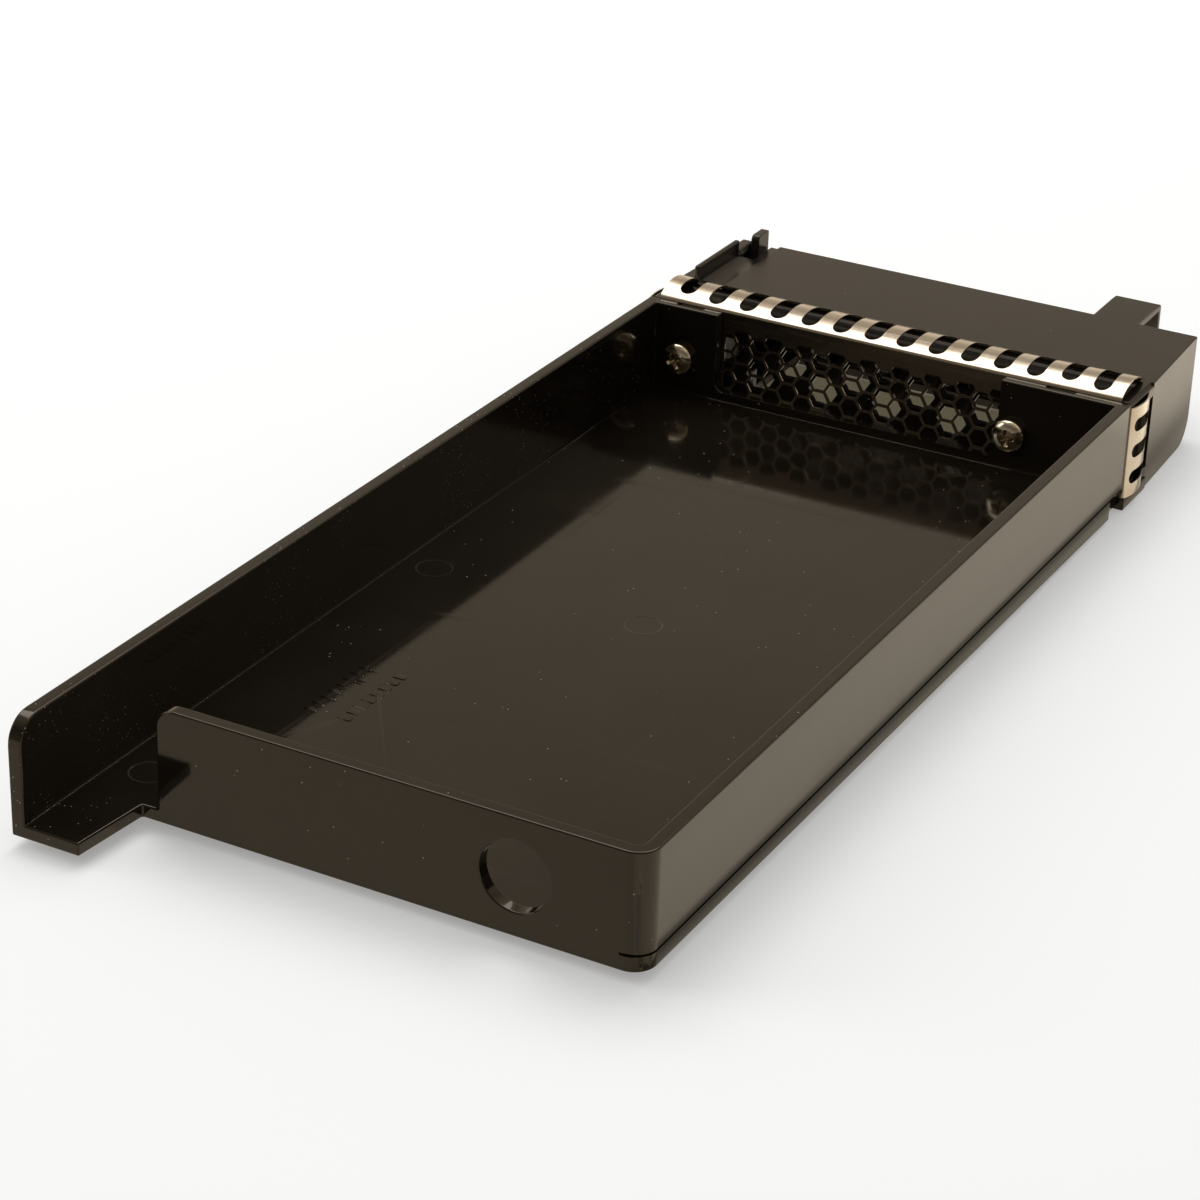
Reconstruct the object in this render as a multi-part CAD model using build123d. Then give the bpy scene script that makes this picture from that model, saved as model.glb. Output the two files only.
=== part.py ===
from build123d import *
import math
import os

# Drive blank filler: a shallow moulded tray that fills an empty drive bay, with a
# slotted metal grounding shield round its neck and a moulded front bezel that
# carries a sprung catch. Millimetres, +Z up, +Y towards the front of the bay.
# The shapes are drawn from the face of the rear end wall (Y = 0) and from the
# underside of the tray floor (Z = 0), and are moved to the origin when written.

# How far a cut runs past the face it opens, and how far joined shapes overlap
past = 1.0

# Tray
tray_width = 106.0
tray_height = 21.0
tray_length = 198.5
wall = 2.6
floor = 2.4
corner_radius = 4.0
end_wall_start = 17.5
end_wall_round = 3.5
tab_length = 15.4
tab_width = 13.1
tab_flare = 1.3
tab_round = 5.0
flange = 2.4
left_block = 14.3
right_block = 23.8
sill = 1.9
sill_round = 2.0
hole_radius = 6.25
hole_x = 83.3
hole_z = 10.6
groove_height = 3.0
groove_size = 0.45
lip_reach = 4.5
runner_width = 3.0
runner_depth = 1.4
runner_gap = 7.0
runner_notch = 1.2
notch_width = 6.0
notch_depth = 0.8
pin_mark_radius = 3.4
pin_mark_depth = 0.06
pin_mark_rows = 3
pin_mark_inset = 9.2
code_x = 18.4
code_y = 41.0
code_row_gap = 6.9
code_bar = 1.5
code_bar_width = 2.4
code_bar_pitch = 2.5
code_bar_count = 8
code_bar_height = 0.12

# Grounding shield, folded from one perforated sheet
sheet = 0.3
strip_depth = 12.7
strip_inset = 2.2
side_strip_inset = 0.9
strip_lift = 0.4
bend_radius = 0.8
top_rise = 2.2
side_rise = 1.2
slot_start = 0.9
slot_width = 3.7
slot_length = 10.8
slot_pitch = 7.05
top_slots = 14
short_slots = (0, 12)
short_slot_start = 1.7
side_slots = 3
side_slot_width = 2.8
side_slot_length = 7.6
side_slot_pitch = 5.6
hex_flats = 3.5
hex_pitch = 4.1
vent_margin = 0.8
vent_top = 3.4

# Bezel
bezel_depth = 28.4
bezel_drop = 2.0
bezel_wall = 2.0
bezel_taper = 1.1
bezel_round = 6.0
neck_recess = 1.9
neck_gap = 0.3
post = 3.0
post_chamfer = 0.8
rib_inset = 3.5
rib_width = 1.1
rib_height = 3.2
rib_length = 19.3
step_width = 10.0
step_depth = 0.5
hood_x = 82.2
hood_width = 10.1
hood_reach = 13.2
hood_wall = 1.4
hood_lift = 5.0
vent_start = 18.6
vent_columns = 17
vent_rows = 3
front_vent_z = 11.0
inner_wall = 1.2
inner_wall_gap = 3.0
inner_vent_flats = 5.6
inner_vent_pitch = 8.26
inner_vent_start = 17.3
inner_vent_columns = 9
inner_vent_rows = 1
inner_vent_z = 11.3
inner_vent_height = 12.6
under_window_start = 18.5
under_window_end = 79.0
under_window_rim = 7.0
foot_width = 1.8
foot_proud = 0.3
foot_gap = 0.2

# Screws, pan head with a cross recess
screw_left_x = 8.5
screw_right_x = 82.4
screw_z = 9.9
screw_radius = 1.7
screw_length = 11.0
head_radius = 3.5
head_height = 2.6
head_round = 2.1
point_chamfer = 0.7
recess_width = 0.9
recess_span = 3.9
recess_depth = 1.5
screw_clearance = 0.25
boss_radius = 3.6
boss_length = 12.0
boss_end = 1.0
thread_clearance = 0.05
gusset = 1.6

# Catch, its pin and its spring
catch_width = 5.0
catch_gap = 0.4
claw_x = 5.5
claw_width = 1.9
claw_length = 5.0
claw_setback = 0.4
claw_rise = 3.4
claw_round = 1.2
pin_y = 8.0
pin_z = 13.0
pin_radius = 1.0
pin_clearance = 0.05
pin_seat = 1.0
hub_radius = 2.6
arm_height = 3.4
cheek = 1.5
thumb_reach = 5.0
thumb_height = 2.2
catch_travel = 10.0
spring_radius = 1.9
spring_wire = 0.45
spring_turns = 5
spring_seat = 1.5

left = -tray_width / 2
right = tray_width / 2
flange_y = tray_length
shield_y = tray_length + flange
shoulder_y = shield_y + strip_depth
front_y = shoulder_y + bezel_depth
hood_y = front_y + hood_reach
window_left = left + wall + left_block
window_right = right - wall - right_block


def block(x, y, z):
    """A box from its two limits along each axis."""
    size = (x[1] - x[0], y[1] - y[0], z[1] - z[0])
    middle = ((x[0] + x[1]) / 2, (y[0] + y[1]) / 2, (z[0] + z[1]) / 2)
    return Pos(*middle) * Box(*size)


def edge_near(part, axis, point):
    """The edge along an axis whose middle lies nearest to a point."""
    edges = part.edges().filter_by(axis)
    return edges.sort_by(lambda e: (e.center() - Vector(*point)).length)[0]


def plan(points):
    """A flat outline in plan, from its corners."""
    return make_face(Polyline(*points, close=True))


def side_profile(points, x):
    """A solid from an outline of (y, z) points, between two limits along X."""
    face = Plane.YZ * make_face(Polyline(*points, close=True))
    return Pos(x[0], 0, 0) * extrude(face, amount=x[1] - x[0])


def rod(radius, x, y, z):
    """A round bar along X."""
    turned = Plane.YZ * Circle(radius)
    return Pos(x[0], y, z) * extrude(turned, amount=x[1] - x[0])


def bore(radius, x, y, z):
    """A round bar along Y."""
    return Pos(x, (y[0] + y[1]) / 2, z) * Rot(90, 0, 0) * Cylinder(radius, y[1] - y[0])


def hex_places(x0, columns, rows, middle, pitch):
    """Centres of a honeycomb: flat-topped cells in staggered columns."""
    places = []
    step = pitch * math.sqrt(3) / 2
    for column in range(columns):
        odd = column % 2
        for row in range(rows + odd):
            shift = (row - (rows + odd - 1) / 2) * pitch
            places.append((x0 + column * step, middle + shift))
    return places


# Tray

def tray_outline(inset, front):
    """The tray's plan with its rounded rear right corner, drawn in from the outside."""
    corners = [
        (left + inset, inset),
        (right - inset, inset),
        (right - inset, front),
        (left + inset, front),
    ]
    face = plan(corners)
    corner = face.vertices().sort_by(lambda v: v.Y - v.X)[0]
    return fillet(corner, corner_radius - inset)


def tray_shell():
    """Floor, both side walls, the end wall and the solid front flange."""
    shell = extrude(tray_outline(0, shield_y), amount=tray_height)
    room = extrude(tray_outline(wall, flange_y), amount=tray_height)
    return shell - Pos(0, 0, floor) * room


def tray_tab():
    """The left wall and floor carried on past the end wall."""
    web = block((left, left + wall), (-tab_length, wall), (0, tray_height))
    web = fillet(edge_near(web, Axis.X, (left, -tab_length, tray_height)), tab_round)
    base = plan([
        (left, -tab_length),
        (left + tab_width, -tab_length),
        (left + tab_width + tab_flare, 0),
        (left + tab_width + tab_flare, wall),
        (left, wall),
    ])
    return web + extrude(base, amount=floor)


def end_gap():
    """The space between the left wall and the end wall."""
    return block((left + wall, left + end_wall_start), (-past, wall), (floor, tray_height + past))


def flange_window():
    """The opening over the sill, between the two flange blocks."""
    low = floor + sill
    y = (flange_y - past, shield_y + past)
    cut = block((window_left, window_right), y, (low, tray_height + past))
    for x in (window_left, window_right):
        cut = fillet(edge_near(cut, Axis.Y, (x, flange_y, low)), sill_round)
    return cut


def flange_notches():
    """Shallow rests in the tops of the two flange blocks."""
    top = (tray_height - notch_depth, tray_height + past)
    y = (flange_y + flange / 2, shield_y + past)
    middles = (left + wall + left_block / 2, right - wall - right_block / 2)
    return [block((m - notch_width / 2, m + notch_width / 2), y, top) for m in middles]


def lip_groove():
    """The fine groove over the bottom lip, round the rear right corner."""
    ring = tray_outline(0, shield_y) - tray_outline(groove_size, shield_y)
    band = Pos(0, 0, groove_height - groove_size / 2) * extrude(ring, amount=groove_size)
    reach = block((right - lip_reach, right + past), (-past, flange_y), (0, tray_height))
    return band & reach


def runner(x):
    """A tapered runner under a long wall, deepening towards the bezel."""
    start = corner_radius
    return side_profile([(start, 0), (shield_y, 0), (shield_y, -runner_depth)], x)


def runner_end(x):
    """The notch at the front end of a runner, up to the groove over the lip."""
    z = (-runner_depth - past, groove_height + groove_size / 2)
    return block(x, (shield_y - runner_gap, shield_y + past), z)


def ejector_marks():
    """Rings left in the floor by the mould's ejector pins."""
    marks = []
    step = (tray_length - 2 * pin_mark_inset) / (pin_mark_rows - 1)
    for x in (left + pin_mark_inset, 0, right - pin_mark_inset):
        for row in range(pin_mark_rows):
            y = pin_mark_inset + row * step
            disc = Cylinder(pin_mark_radius, 2 * pin_mark_depth)
            marks.append(Pos(x, y, floor) * disc)
    return marks


def code_bars():
    """Two rows of plain raised bars on the floor."""
    bars = []
    for row in range(2):
        x = left + code_x + row * code_row_gap
        for i in range(code_bar_count):
            y = code_y + i * code_bar_pitch
            z = (floor, floor + code_bar_height)
            bars.append(block((x, x + code_bar_width), (y, y + code_bar), z))
    return bars


def make_tray():
    tray = tray_shell() + tray_tab() - end_gap()
    corner = (left + end_wall_start, wall / 2, tray_height)
    tray = fillet(edge_near(tray, Axis.Y, corner), end_wall_round)
    tray = tray - flange_window() - flange_notches() - lip_groove()
    tray = tray + runner((left, left + runner_width)) + runner((right - runner_width, right))
    tray = tray - runner_end((left - past, left + runner_notch))
    tray = tray - runner_end((right - runner_notch, right + past))
    tray = tray - bore(hole_radius, left + hole_x, (-past, wall + past), hole_z)
    for x in (screw_left_x, screw_right_x):
        through = (flange_y - past, shield_y + past)
        tray = tray - bore(screw_radius + screw_clearance, left + x, through, screw_z)
    return tray - ejector_marks() + code_bars()


# Grounding shield

def arch_face(rise):
    """Section of one sprung strip: a thin arc from the fold to its front edge."""
    half = strip_depth / 2 - neck_gap / 2
    radius = (half ** 2 + rise ** 2) / (2 * rise)
    centre = Vector(half, rise - radius)
    inner = radius - sheet
    ends = []
    for x in (0, 2 * half):
        spoke = (Vector(x, 0) - centre) / radius
        ends.append(centre + spoke * inner)
    outline = [
        ThreePointArc((0, 0), (half, rise), (2 * half, 0)),
        Line((2 * half, 0), ends[1]),
        ThreePointArc(ends[1], (half, rise - sheet), ends[0]),
        Line(ends[0], (0, 0)),
    ]
    return make_face(outline)


def strip(along, origin, length, rise):
    """One arched strip, from its fold on the web to its sprung front edge."""
    section = Plane(origin=origin, x_dir=(0, 1, 0), z_dir=along) * arch_face(rise)
    return extrude(section, amount=length / 2, both=True)


def slot_row(outward, along, origin, sizes, count, pitch, short):
    """The slots that cut one strip into fingers."""
    width, length, reach = sizes
    slots = []
    for i in range(count):
        start = short_slot_start if i in short else slot_start
        span = length + slot_start - start
        move = (i - (count - 1) / 2) * pitch
        spot = Vector(*origin) + Vector(0, start + span / 2, 0) + Vector(*along) * move
        face = Plane(origin=spot, x_dir=(0, 1, 0), z_dir=outward) * SlotOverall(span, width)
        slots.append(extrude(face, amount=reach, both=True))
    return slots


def shield_blank():
    """The folded sheet before its slots and cells, and the slots."""
    half = tray_width / 2 - strip_inset
    top = tray_height + strip_lift
    low = -strip_lift
    middle = tray_height / 2
    height = tray_height - 2 * side_strip_inset
    out = right + strip_lift
    y = (shield_y, shield_y + sheet)
    web = block((-half, half), y, (low, top))
    web = web + block((-out, out), y, (side_strip_inset, side_strip_inset + height))
    long_slots = (slot_width, slot_length, 2 * top_rise)
    side_cuts = (side_slot_width, side_slot_length, 2 * top_rise)
    sides = [
        ((0, 0, 1), (1, 0, 0), (0, shield_y, top), 2 * half, top_rise),
        ((0, 0, -1), (-1, 0, 0), (0, shield_y, low), 2 * half, side_rise),
        ((1, 0, 0), (0, 0, -1), (out, shield_y, middle), height, side_rise),
        ((-1, 0, 0), (0, 0, 1), (-out, shield_y, middle), height, side_rise),
    ]
    rows = [
        (long_slots, top_slots, slot_pitch, short_slots),
        (long_slots, top_slots, slot_pitch, ()),
        (side_cuts, side_slots, side_slot_pitch, ()),
        (side_cuts, side_slots, side_slot_pitch, ()),
    ]
    slots = []
    for side, row in zip(sides, rows):
        web = web + strip(*side[1:])
        slots = slots + slot_row(*side[:3], *row)
    folds = [(0, shield_y, top), (0, shield_y, low)]
    for spot in folds:
        web = fillet(edge_near(web, Axis.X, spot), bend_radius)
    for x in (-out, out):
        web = fillet(edge_near(web, Axis.Z, (x, shield_y, middle)), bend_radius)
    return web, slots


def shield_cells():
    """The honeycomb seen through the flange window, cut off square at its border."""
    step = hex_pitch * math.sqrt(3) / 2
    width = window_right - window_left - 2 * vent_margin
    columns = int(width / step) + 1
    low = floor + sill - vent_margin
    high = tray_height - vent_top
    middle = Vector((window_left + window_right) / 2, (low + high) / 2)
    rows = int((high - low) / hex_pitch)
    border = Pos(middle.X, middle.Y) * Rectangle(width, high - low)
    cell = RegularPolygon(hex_flats / 2, 6, major_radius=False)
    cells = []
    start = middle.X - (columns - 1) * step / 2
    for x, z in hex_places(start, columns, rows, middle.Y, hex_pitch):
        face = Plane.XZ * (Pos(x, z) * cell & border)
        cells.append(Pos(0, shield_y, 0) * extrude(face, amount=past, both=True))
    return cells


def make_shield():
    shield, slots = shield_blank()
    shield = shield - slots - shield_cells()
    for x in (screw_left_x, screw_right_x):
        through = (shield_y - past, shield_y + past)
        shield = shield - bore(screw_radius + screw_clearance, left + x, through, screw_z)
    return shield


# Bezel

def bezel_block(inset):
    """The bezel's body, drawn in by a wall: tapered in plan, rounded under the front."""
    low = -bezel_drop + inset
    high = tray_height - inset
    rear = shoulder_y + inset
    front = front_y - inset
    half = tray_width / 2 - inset
    body = extrude(plan([
        (-half, rear),
        (half, rear),
        (half - bezel_taper, front),
        (-half + bezel_taper, front),
    ]), amount=high - low)
    body = Pos(0, 0, low) * body
    return fillet(edge_near(body, Axis.X, (0, front, low)), bezel_round - inset)


def neck():
    """The hollow neck that the shield wraps, with a post at each corner and two feet."""
    y = (shield_y + sheet, shoulder_y + bezel_wall)
    half = tray_width / 2 - neck_recess
    low = neck_recess
    high = tray_height - neck_recess
    body = block((-half, half), y, (low, high))
    inside = block(
        (-half + bezel_wall, half - bezel_wall),
        (y[0] - past, y[1] + past),
        (low + bezel_wall, high - bezel_wall),
    )
    for x in (left, right - post):
        for z in (0, tray_height - post):
            corner = block((x, x + post), (y[0], shoulder_y), (z, z + post))
            edge = edge_near(corner, Axis.Y, (math.copysign(right, x), 0, 0 if z == 0 else tray_height))
            body = body + chamfer(edge, post_chamfer)
    feet = (left - foot_proud, left + foot_width), (right - foot_width, right + foot_proud)
    for x in feet:
        z = (-bezel_drop, side_strip_inset - foot_gap)
        body = body + block(x, (y[0], shoulder_y), z)
    return body, inside


def inner_wall_y():
    """The two faces of the perforated wall inside the neck."""
    rear = shield_y + sheet + inner_wall_gap
    return rear, rear + inner_wall


def inner_vent_wall():
    """The perforated wall across the neck, close behind the shield's honeycomb."""
    half = tray_width / 2 - neck_recess - bezel_wall / 2
    z = (neck_recess + bezel_wall / 2, tray_height - neck_recess - bezel_wall / 2)
    return block((-half, half), inner_wall_y(), z)


def under_window():
    """The opening in the bezel's underside, from the neck to the rim under the front."""
    x = (left + under_window_start, left + under_window_end)
    y = (inner_wall_y()[1], front_y - under_window_rim)
    return block(x, y, (-bezel_drop - past, neck_recess + bezel_wall + past))


def bosses():
    """The two screw bosses with a gusset above and below each."""
    solids = []
    y = (shield_y + sheet, shield_y + sheet + boss_length)
    for x in (screw_left_x, screw_right_x):
        column = (left + x - gusset / 2, left + x + gusset / 2)
        room = (neck_recess + bezel_wall / 2, tray_height - neck_recess - bezel_wall / 2)
        solids.append(bore(boss_radius, left + x, y, screw_z))
        solids.append(block(column, y, room))
    return solids


def boss_holes():
    """Pilot holes for the two screws."""
    y = (shield_y, shield_y + sheet + boss_length - boss_end)
    radius = screw_radius + thread_clearance
    return [bore(radius, left + x, y, screw_z) for x in (screw_left_x, screw_right_x)]


def vent_cells():
    """The honeycomb in the front wall, and the coarser one in the wall inside the neck."""
    cells = []
    cell = RegularPolygon(hex_flats / 2, 6, major_radius=False)
    for x, z in hex_places(left + vent_start, vent_columns, vent_rows, front_vent_z, hex_pitch):
        face = Plane.XZ * Pos(x, z) * cell
        cells.append(Pos(0, front_y, 0) * extrude(face, amount=2 * bezel_wall, both=True))
    wide_cell = RegularPolygon(inner_vent_flats / 2, 6, major_radius=False)
    border = Pos(0, tray_height / 2) * Rectangle(tray_width, inner_vent_height)
    places = hex_places(
        left + inner_vent_start, inner_vent_columns, inner_vent_rows, inner_vent_z, inner_vent_pitch
    )
    for x, z in places:
        face = Plane.XZ * (Pos(x, z) * wide_cell & border)
        reach = 2 * inner_wall
        cells.append(Pos(0, inner_wall_y()[0], 0) * extrude(face, amount=reach, both=True))
    return cells


def hood():
    """The finger pull: a cap over the front, open below and on its right."""
    x = (left + hood_x, left + hood_x + hood_width)
    y = (front_y - bezel_wall / 2, hood_y)
    cap = block(x, y, (hood_lift, tray_height))
    room = block(
        (x[0] + hood_wall, x[1] + past),
        (front_y, hood_y - hood_wall),
        (hood_lift - past, tray_height - hood_wall),
    )
    cap = fillet(edge_near(cap, Axis.X, (x[0], hood_y, tray_height)), hood_wall / 2)
    return cap - room


def catch_room():
    """Cuts that let the catch's claw and thumb piece out of the bezel."""
    x = left + claw_x
    y = (shoulder_y + rib_length + catch_gap, front_y + past)
    claw = (x - catch_gap, x + claw_width + catch_gap)
    top = tray_height + rib_height + past
    pocket = block(
        (left + rib_inset, claw[1]),
        (y[0], front_y - bezel_wall / 2),
        (tray_height - 2 * bezel_wall, top),
    )
    mouth = block(claw, y, (pin_z, top))
    wide = (catch_left() - catch_gap, catch_left() + catch_width + catch_gap)
    arm_top = pin_z + catch_gap
    arm_low = arm_top - arm_height - thumb_drop() - 2 * catch_gap
    thumb = block(wide, (front_y - 2 * bezel_wall, front_y + past), (arm_low, arm_top))
    return [pocket, mouth, thumb]


def catch_left():
    """The catch's left side, just clear of the bezel's left wall."""
    return left + bezel_wall + bezel_taper + catch_gap


def thumb_drop():
    """How far the thumb piece goes down when the catch is pressed."""
    reach = front_y + thumb_reach - shoulder_y - pin_y
    return reach * math.sin(math.radians(catch_travel))


def catch_cheek():
    """The inner wall that carries the right end of the catch's pin."""
    x = catch_left() + catch_width + catch_gap
    y = (shoulder_y + bezel_wall / 2, front_y - bezel_wall / 2)
    z = (-bezel_drop + bezel_wall / 2, tray_height - bezel_wall / 2)
    return block((x, x + cheek), y, z) & bezel_block(bezel_wall / 2)


def catch_rib():
    """The raised rib on the bezel's left edge and the shallow step beside it."""
    x = left + rib_inset
    y = (shoulder_y + neck_gap, shoulder_y + rib_length)
    rib = block((x, x + rib_width), y, (tray_height - bezel_wall, tray_height + rib_height))
    step = block(
        (x + rib_width, left + step_width),
        (shoulder_y - past, front_y + past),
        (tray_height - step_depth, tray_height + rib_height + past),
    )
    return rib, step


def spring_place():
    """Plan position of the spring: midway along the catch's arm."""
    x = catch_left() + catch_width / 2
    y = shoulder_y + pin_y + (bezel_depth - pin_y) / 2
    return x, y


def make_bezel():
    neck_body, neck_room = neck()
    shell = bezel_block(0) - bezel_block(bezel_wall)
    bezel = shell + neck_body
    rib, step = catch_rib()
    bezel = bezel - neck_room - step + rib + hood() + catch_cheek() + inner_vent_wall() + bosses()
    bezel = bezel - boss_holes() - vent_cells() - under_window() - catch_room()
    x, y = spring_place()
    peg = Cylinder(spring_radius - spring_wire - catch_gap / 2, spring_seat + bezel_wall / 2)
    low = -bezel_drop + bezel_wall / 2
    bezel = bezel + Pos(x, y, low + (spring_seat + bezel_wall / 2) / 2) * peg
    return bezel - rod(pin_radius, pin_ends(), shoulder_y + pin_y, pin_z)


# Screws

def make_screw(x):
    """A pan-head screw with a cross recess, its head against the flange."""
    head = Pos(0, 0, head_height / 2) * Cylinder(head_radius, head_height)
    rim = head.edges().filter_by(GeomType.CIRCLE).sort_by(Axis.Z)[-1]
    head = fillet(rim, head_round)
    shank = Pos(0, 0, -screw_length / 2) * Cylinder(screw_radius, screw_length)
    point = shank.edges().filter_by(GeomType.CIRCLE).sort_by(Axis.Z)[0]
    shank = chamfer(point, point_chamfer)
    screw = head + shank
    for turn in (0, 90):
        arm = Box(recess_span, recess_width, 2 * recess_depth)
        screw = screw - Pos(0, 0, head_height) * Rot(0, 0, turn) * arm
    return Pos(left + x, flange_y, screw_z) * Rot(90, 0, 0) * screw


# Catch

def make_catch():
    """The catch: hub, arm, claw and thumb piece in one moulding."""
    x = (catch_left(), catch_left() + catch_width)
    hub_y = shoulder_y + pin_y
    under = pin_z - arm_height
    catch = rod(hub_radius, x, hub_y, pin_z)
    catch = catch + block(x, (hub_y, front_y - bezel_wall - catch_gap), (under, pin_z))
    tip = (front_y - bezel_wall - past, front_y + thumb_reach)
    catch = catch + block(x, tip, (pin_z - thumb_height, pin_z))
    claw_y = (front_y - claw_setback - claw_length, front_y - claw_setback)
    claw_side = (left + claw_x, left + claw_x + claw_width)
    claw = block(claw_side, claw_y, (pin_z - past, tray_height + claw_rise))
    claw = fillet(edge_near(claw, Axis.X, (claw_side[0], claw_y[0], tray_height + claw_rise)), claw_round)
    catch = catch + claw
    sx, sy = spring_place()
    seat = Pos(sx, sy, under) * Cylinder(spring_radius + catch_gap / 2, 2 * spring_seat)
    catch = catch - seat
    return catch - rod(pin_radius + pin_clearance, (x[0] - past, x[1] + past), hub_y, pin_z)


def pin_ends():
    """The pin's two ends: inside the bezel's left wall and flush with the cheek."""
    return left + bezel_wall - pin_seat, catch_left() + catch_width + catch_gap + cheek


def make_pin():
    """The catch's pin, held in the left wall and in the cheek."""
    return rod(pin_radius, pin_ends(), shoulder_y + pin_y, pin_z)


def make_spring():
    """The coil spring that lifts the catch."""
    x, y = spring_place()
    low = -bezel_drop + bezel_wall + spring_wire / 2
    high = pin_z - arm_height + spring_seat - spring_wire / 2
    height = high - low
    mean = spring_radius - spring_wire / 2
    path = Helix(pitch=height / spring_turns, height=height, radius=mean)
    start = Plane(origin=path @ 0, z_dir=path % 0)
    coil = sweep(start * Circle(spring_wire / 2), path=path)
    return Pos(x, y, low) * coil


def lowest():
    """The lowest point of the whole filler, under the bezel or the bottom strip."""
    return min(-bezel_drop, -runner_depth, -strip_lift - side_rise)


home = Pos(0, (tab_length - hood_y) / 2, -lowest())

nodes = {
    "tray": make_tray(),
    "grounding_shield": make_shield(),
    "bezel": make_bezel(),
    "screw_left": make_screw(screw_left_x),
    "screw_right": make_screw(screw_right_x),
    "catch": make_catch(),
    "catch_pin": make_pin(),
    "catch_spring": make_spring(),
}

os.makedirs("parts", exist_ok=True)
for name, shape in nodes.items():
    placed = home * shape
    placed.label = name
    export_step(placed, f"parts/{name}.step")
    box = placed.bounding_box()
    print(name, len(placed.solids()), round(placed.volume, 1), box.min, box.max)
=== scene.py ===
import logging
import math
from dataclasses import dataclass
from enum import Enum
from typing import Callable, Optional, Sequence, Union

import bmesh
import bpy
from mathutils import Matrix, Vector
from mathutils.bvhtree import BVHTree
from mathutils.geometry import intersect_point_line


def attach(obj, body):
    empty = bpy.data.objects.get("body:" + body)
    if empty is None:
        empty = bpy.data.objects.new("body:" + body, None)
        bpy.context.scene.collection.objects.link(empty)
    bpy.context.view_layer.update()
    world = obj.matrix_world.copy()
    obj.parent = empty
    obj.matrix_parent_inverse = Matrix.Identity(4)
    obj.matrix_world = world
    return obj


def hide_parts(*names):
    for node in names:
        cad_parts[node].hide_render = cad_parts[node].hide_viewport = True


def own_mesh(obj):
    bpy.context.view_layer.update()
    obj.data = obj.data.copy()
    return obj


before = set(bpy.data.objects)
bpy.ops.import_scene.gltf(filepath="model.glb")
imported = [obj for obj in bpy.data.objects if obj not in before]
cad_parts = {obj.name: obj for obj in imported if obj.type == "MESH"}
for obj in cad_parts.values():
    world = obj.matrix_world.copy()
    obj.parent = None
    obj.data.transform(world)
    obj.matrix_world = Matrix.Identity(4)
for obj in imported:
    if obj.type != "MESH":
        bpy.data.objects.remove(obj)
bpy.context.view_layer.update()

LOG = logging.getLogger("drive_blank_filler")
MM = 0.001
HOME = Vector((0.0, -119.9, 2.0))
SCREW_X = (-44.5, 29.4)
SCREW_Z = 9.9
Colour = tuple[float, float, float, float]
Flat = tuple[float, float]
Triple = tuple[float, float, float]
Value = Union[float, int, bool, Sequence[float], bpy.types.NodeSocket]


def place(x: float, y: float, z: float) -> Vector:
    """Moves a point of the drawing into the row frame.

    Args:
        x: Millimetres to the right of the tray's middle.
        y: Millimetres in front of the end wall's rear face.
        z: Millimetres above the underside of the tray's floor.

    Returns:
        The point in metres.
    """
    return (Vector((x, y, z)) + HOME) * MM


class Body(Enum):
    """The two rigid bodies of the filler."""

    HOUSING = "housing"
    CATCH = "catch"


class Slot(Enum):
    """The material slots that the record names."""

    TRAY = "tray"
    SHIELD = "shield"
    BEZEL = "bezel"
    SCREWS = "screws"
    CATCH = "catch"
    PIN = "pin"
    SPRING = "spring"


class Side(Enum):
    """The two long sides of the filler, as a sign along X."""

    LEFT = -1
    RIGHT = 1


@dataclass(frozen=True)
class Ramp:
    """Maps start to at_start and end to at_end, evenly between them and held beyond."""

    start: float
    end: float
    at_start: float = 0.0
    at_end: float = 1.0


@dataclass(frozen=True)
class Clouds:
    """A noise pattern: clouds in a metre, finer layers, their strength, and its stretch."""

    scale: float
    detail: float
    roughness: float
    band: Optional[Ramp] = None
    stretch: Triple = (1, 1, 1)


@dataclass(frozen=True)
class Specks:
    """Round specks: cells in a metre, and a speck's radius as a share of its cell."""

    scale: float
    size: float


@dataclass(frozen=True)
class Relief:
    """How deep a pattern stands out in metres, and how much of that shows."""

    depth: float
    strength: float


class NodeBoard:
    """Short ways to add and wire the nodes of any tree."""

    def __init__(self, tree: bpy.types.NodeTree) -> None:
        """Starts on an empty tree."""
        self.tree = tree

    def add(self, kind: str, values: Optional[dict[Union[str, int], Value]] = None,
            **settings: object) -> bpy.types.Node:
        """Adds one node, with its settings and inputs.

        Args:
            kind: The node's type name.
            values: What each input takes: a constant, or a socket to link from.
            settings: The node's own properties.

        Returns:
            The new node.
        """
        node = self.tree.nodes.new(kind)
        for name, setting in settings.items():
            setattr(node, name, setting)
        for name, value in (values or {}).items():
            if isinstance(value, bpy.types.NodeSocket):
                self.tree.links.new(value, node.inputs[name])
            else:
                node.inputs[name].default_value = value
        return node

    def math(self, operation: str, *values: Value) -> bpy.types.NodeSocket:
        """Works out a sum from left to right.

        Args:
            operation: The name of the sum.
            values: Its values, one or more.

        Returns:
            The result's socket.
        """
        result = values[0]
        for value in values[1:] or (0.0,):
            inputs = {0: result, 1: value}
            result = self.add("ShaderNodeMath", inputs, operation=operation).outputs[0]
        return result

    def distance(self, value: Value, other: Value) -> bpy.types.NodeSocket:
        """How far apart two numbers are."""
        return self.math("ABSOLUTE", self.math("SUBTRACT", value, other))

    def ramp(self, value: Value, ramp: Ramp) -> bpy.types.NodeSocket:
        """Maps a number by a ramp."""
        values = {"Value": value, "From Min": ramp.start, "From Max": ramp.end,
                  "To Min": ramp.at_start, "To Max": ramp.at_end}
        return self.add("ShaderNodeMapRange", values, clamp=True).outputs[0]


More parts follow.
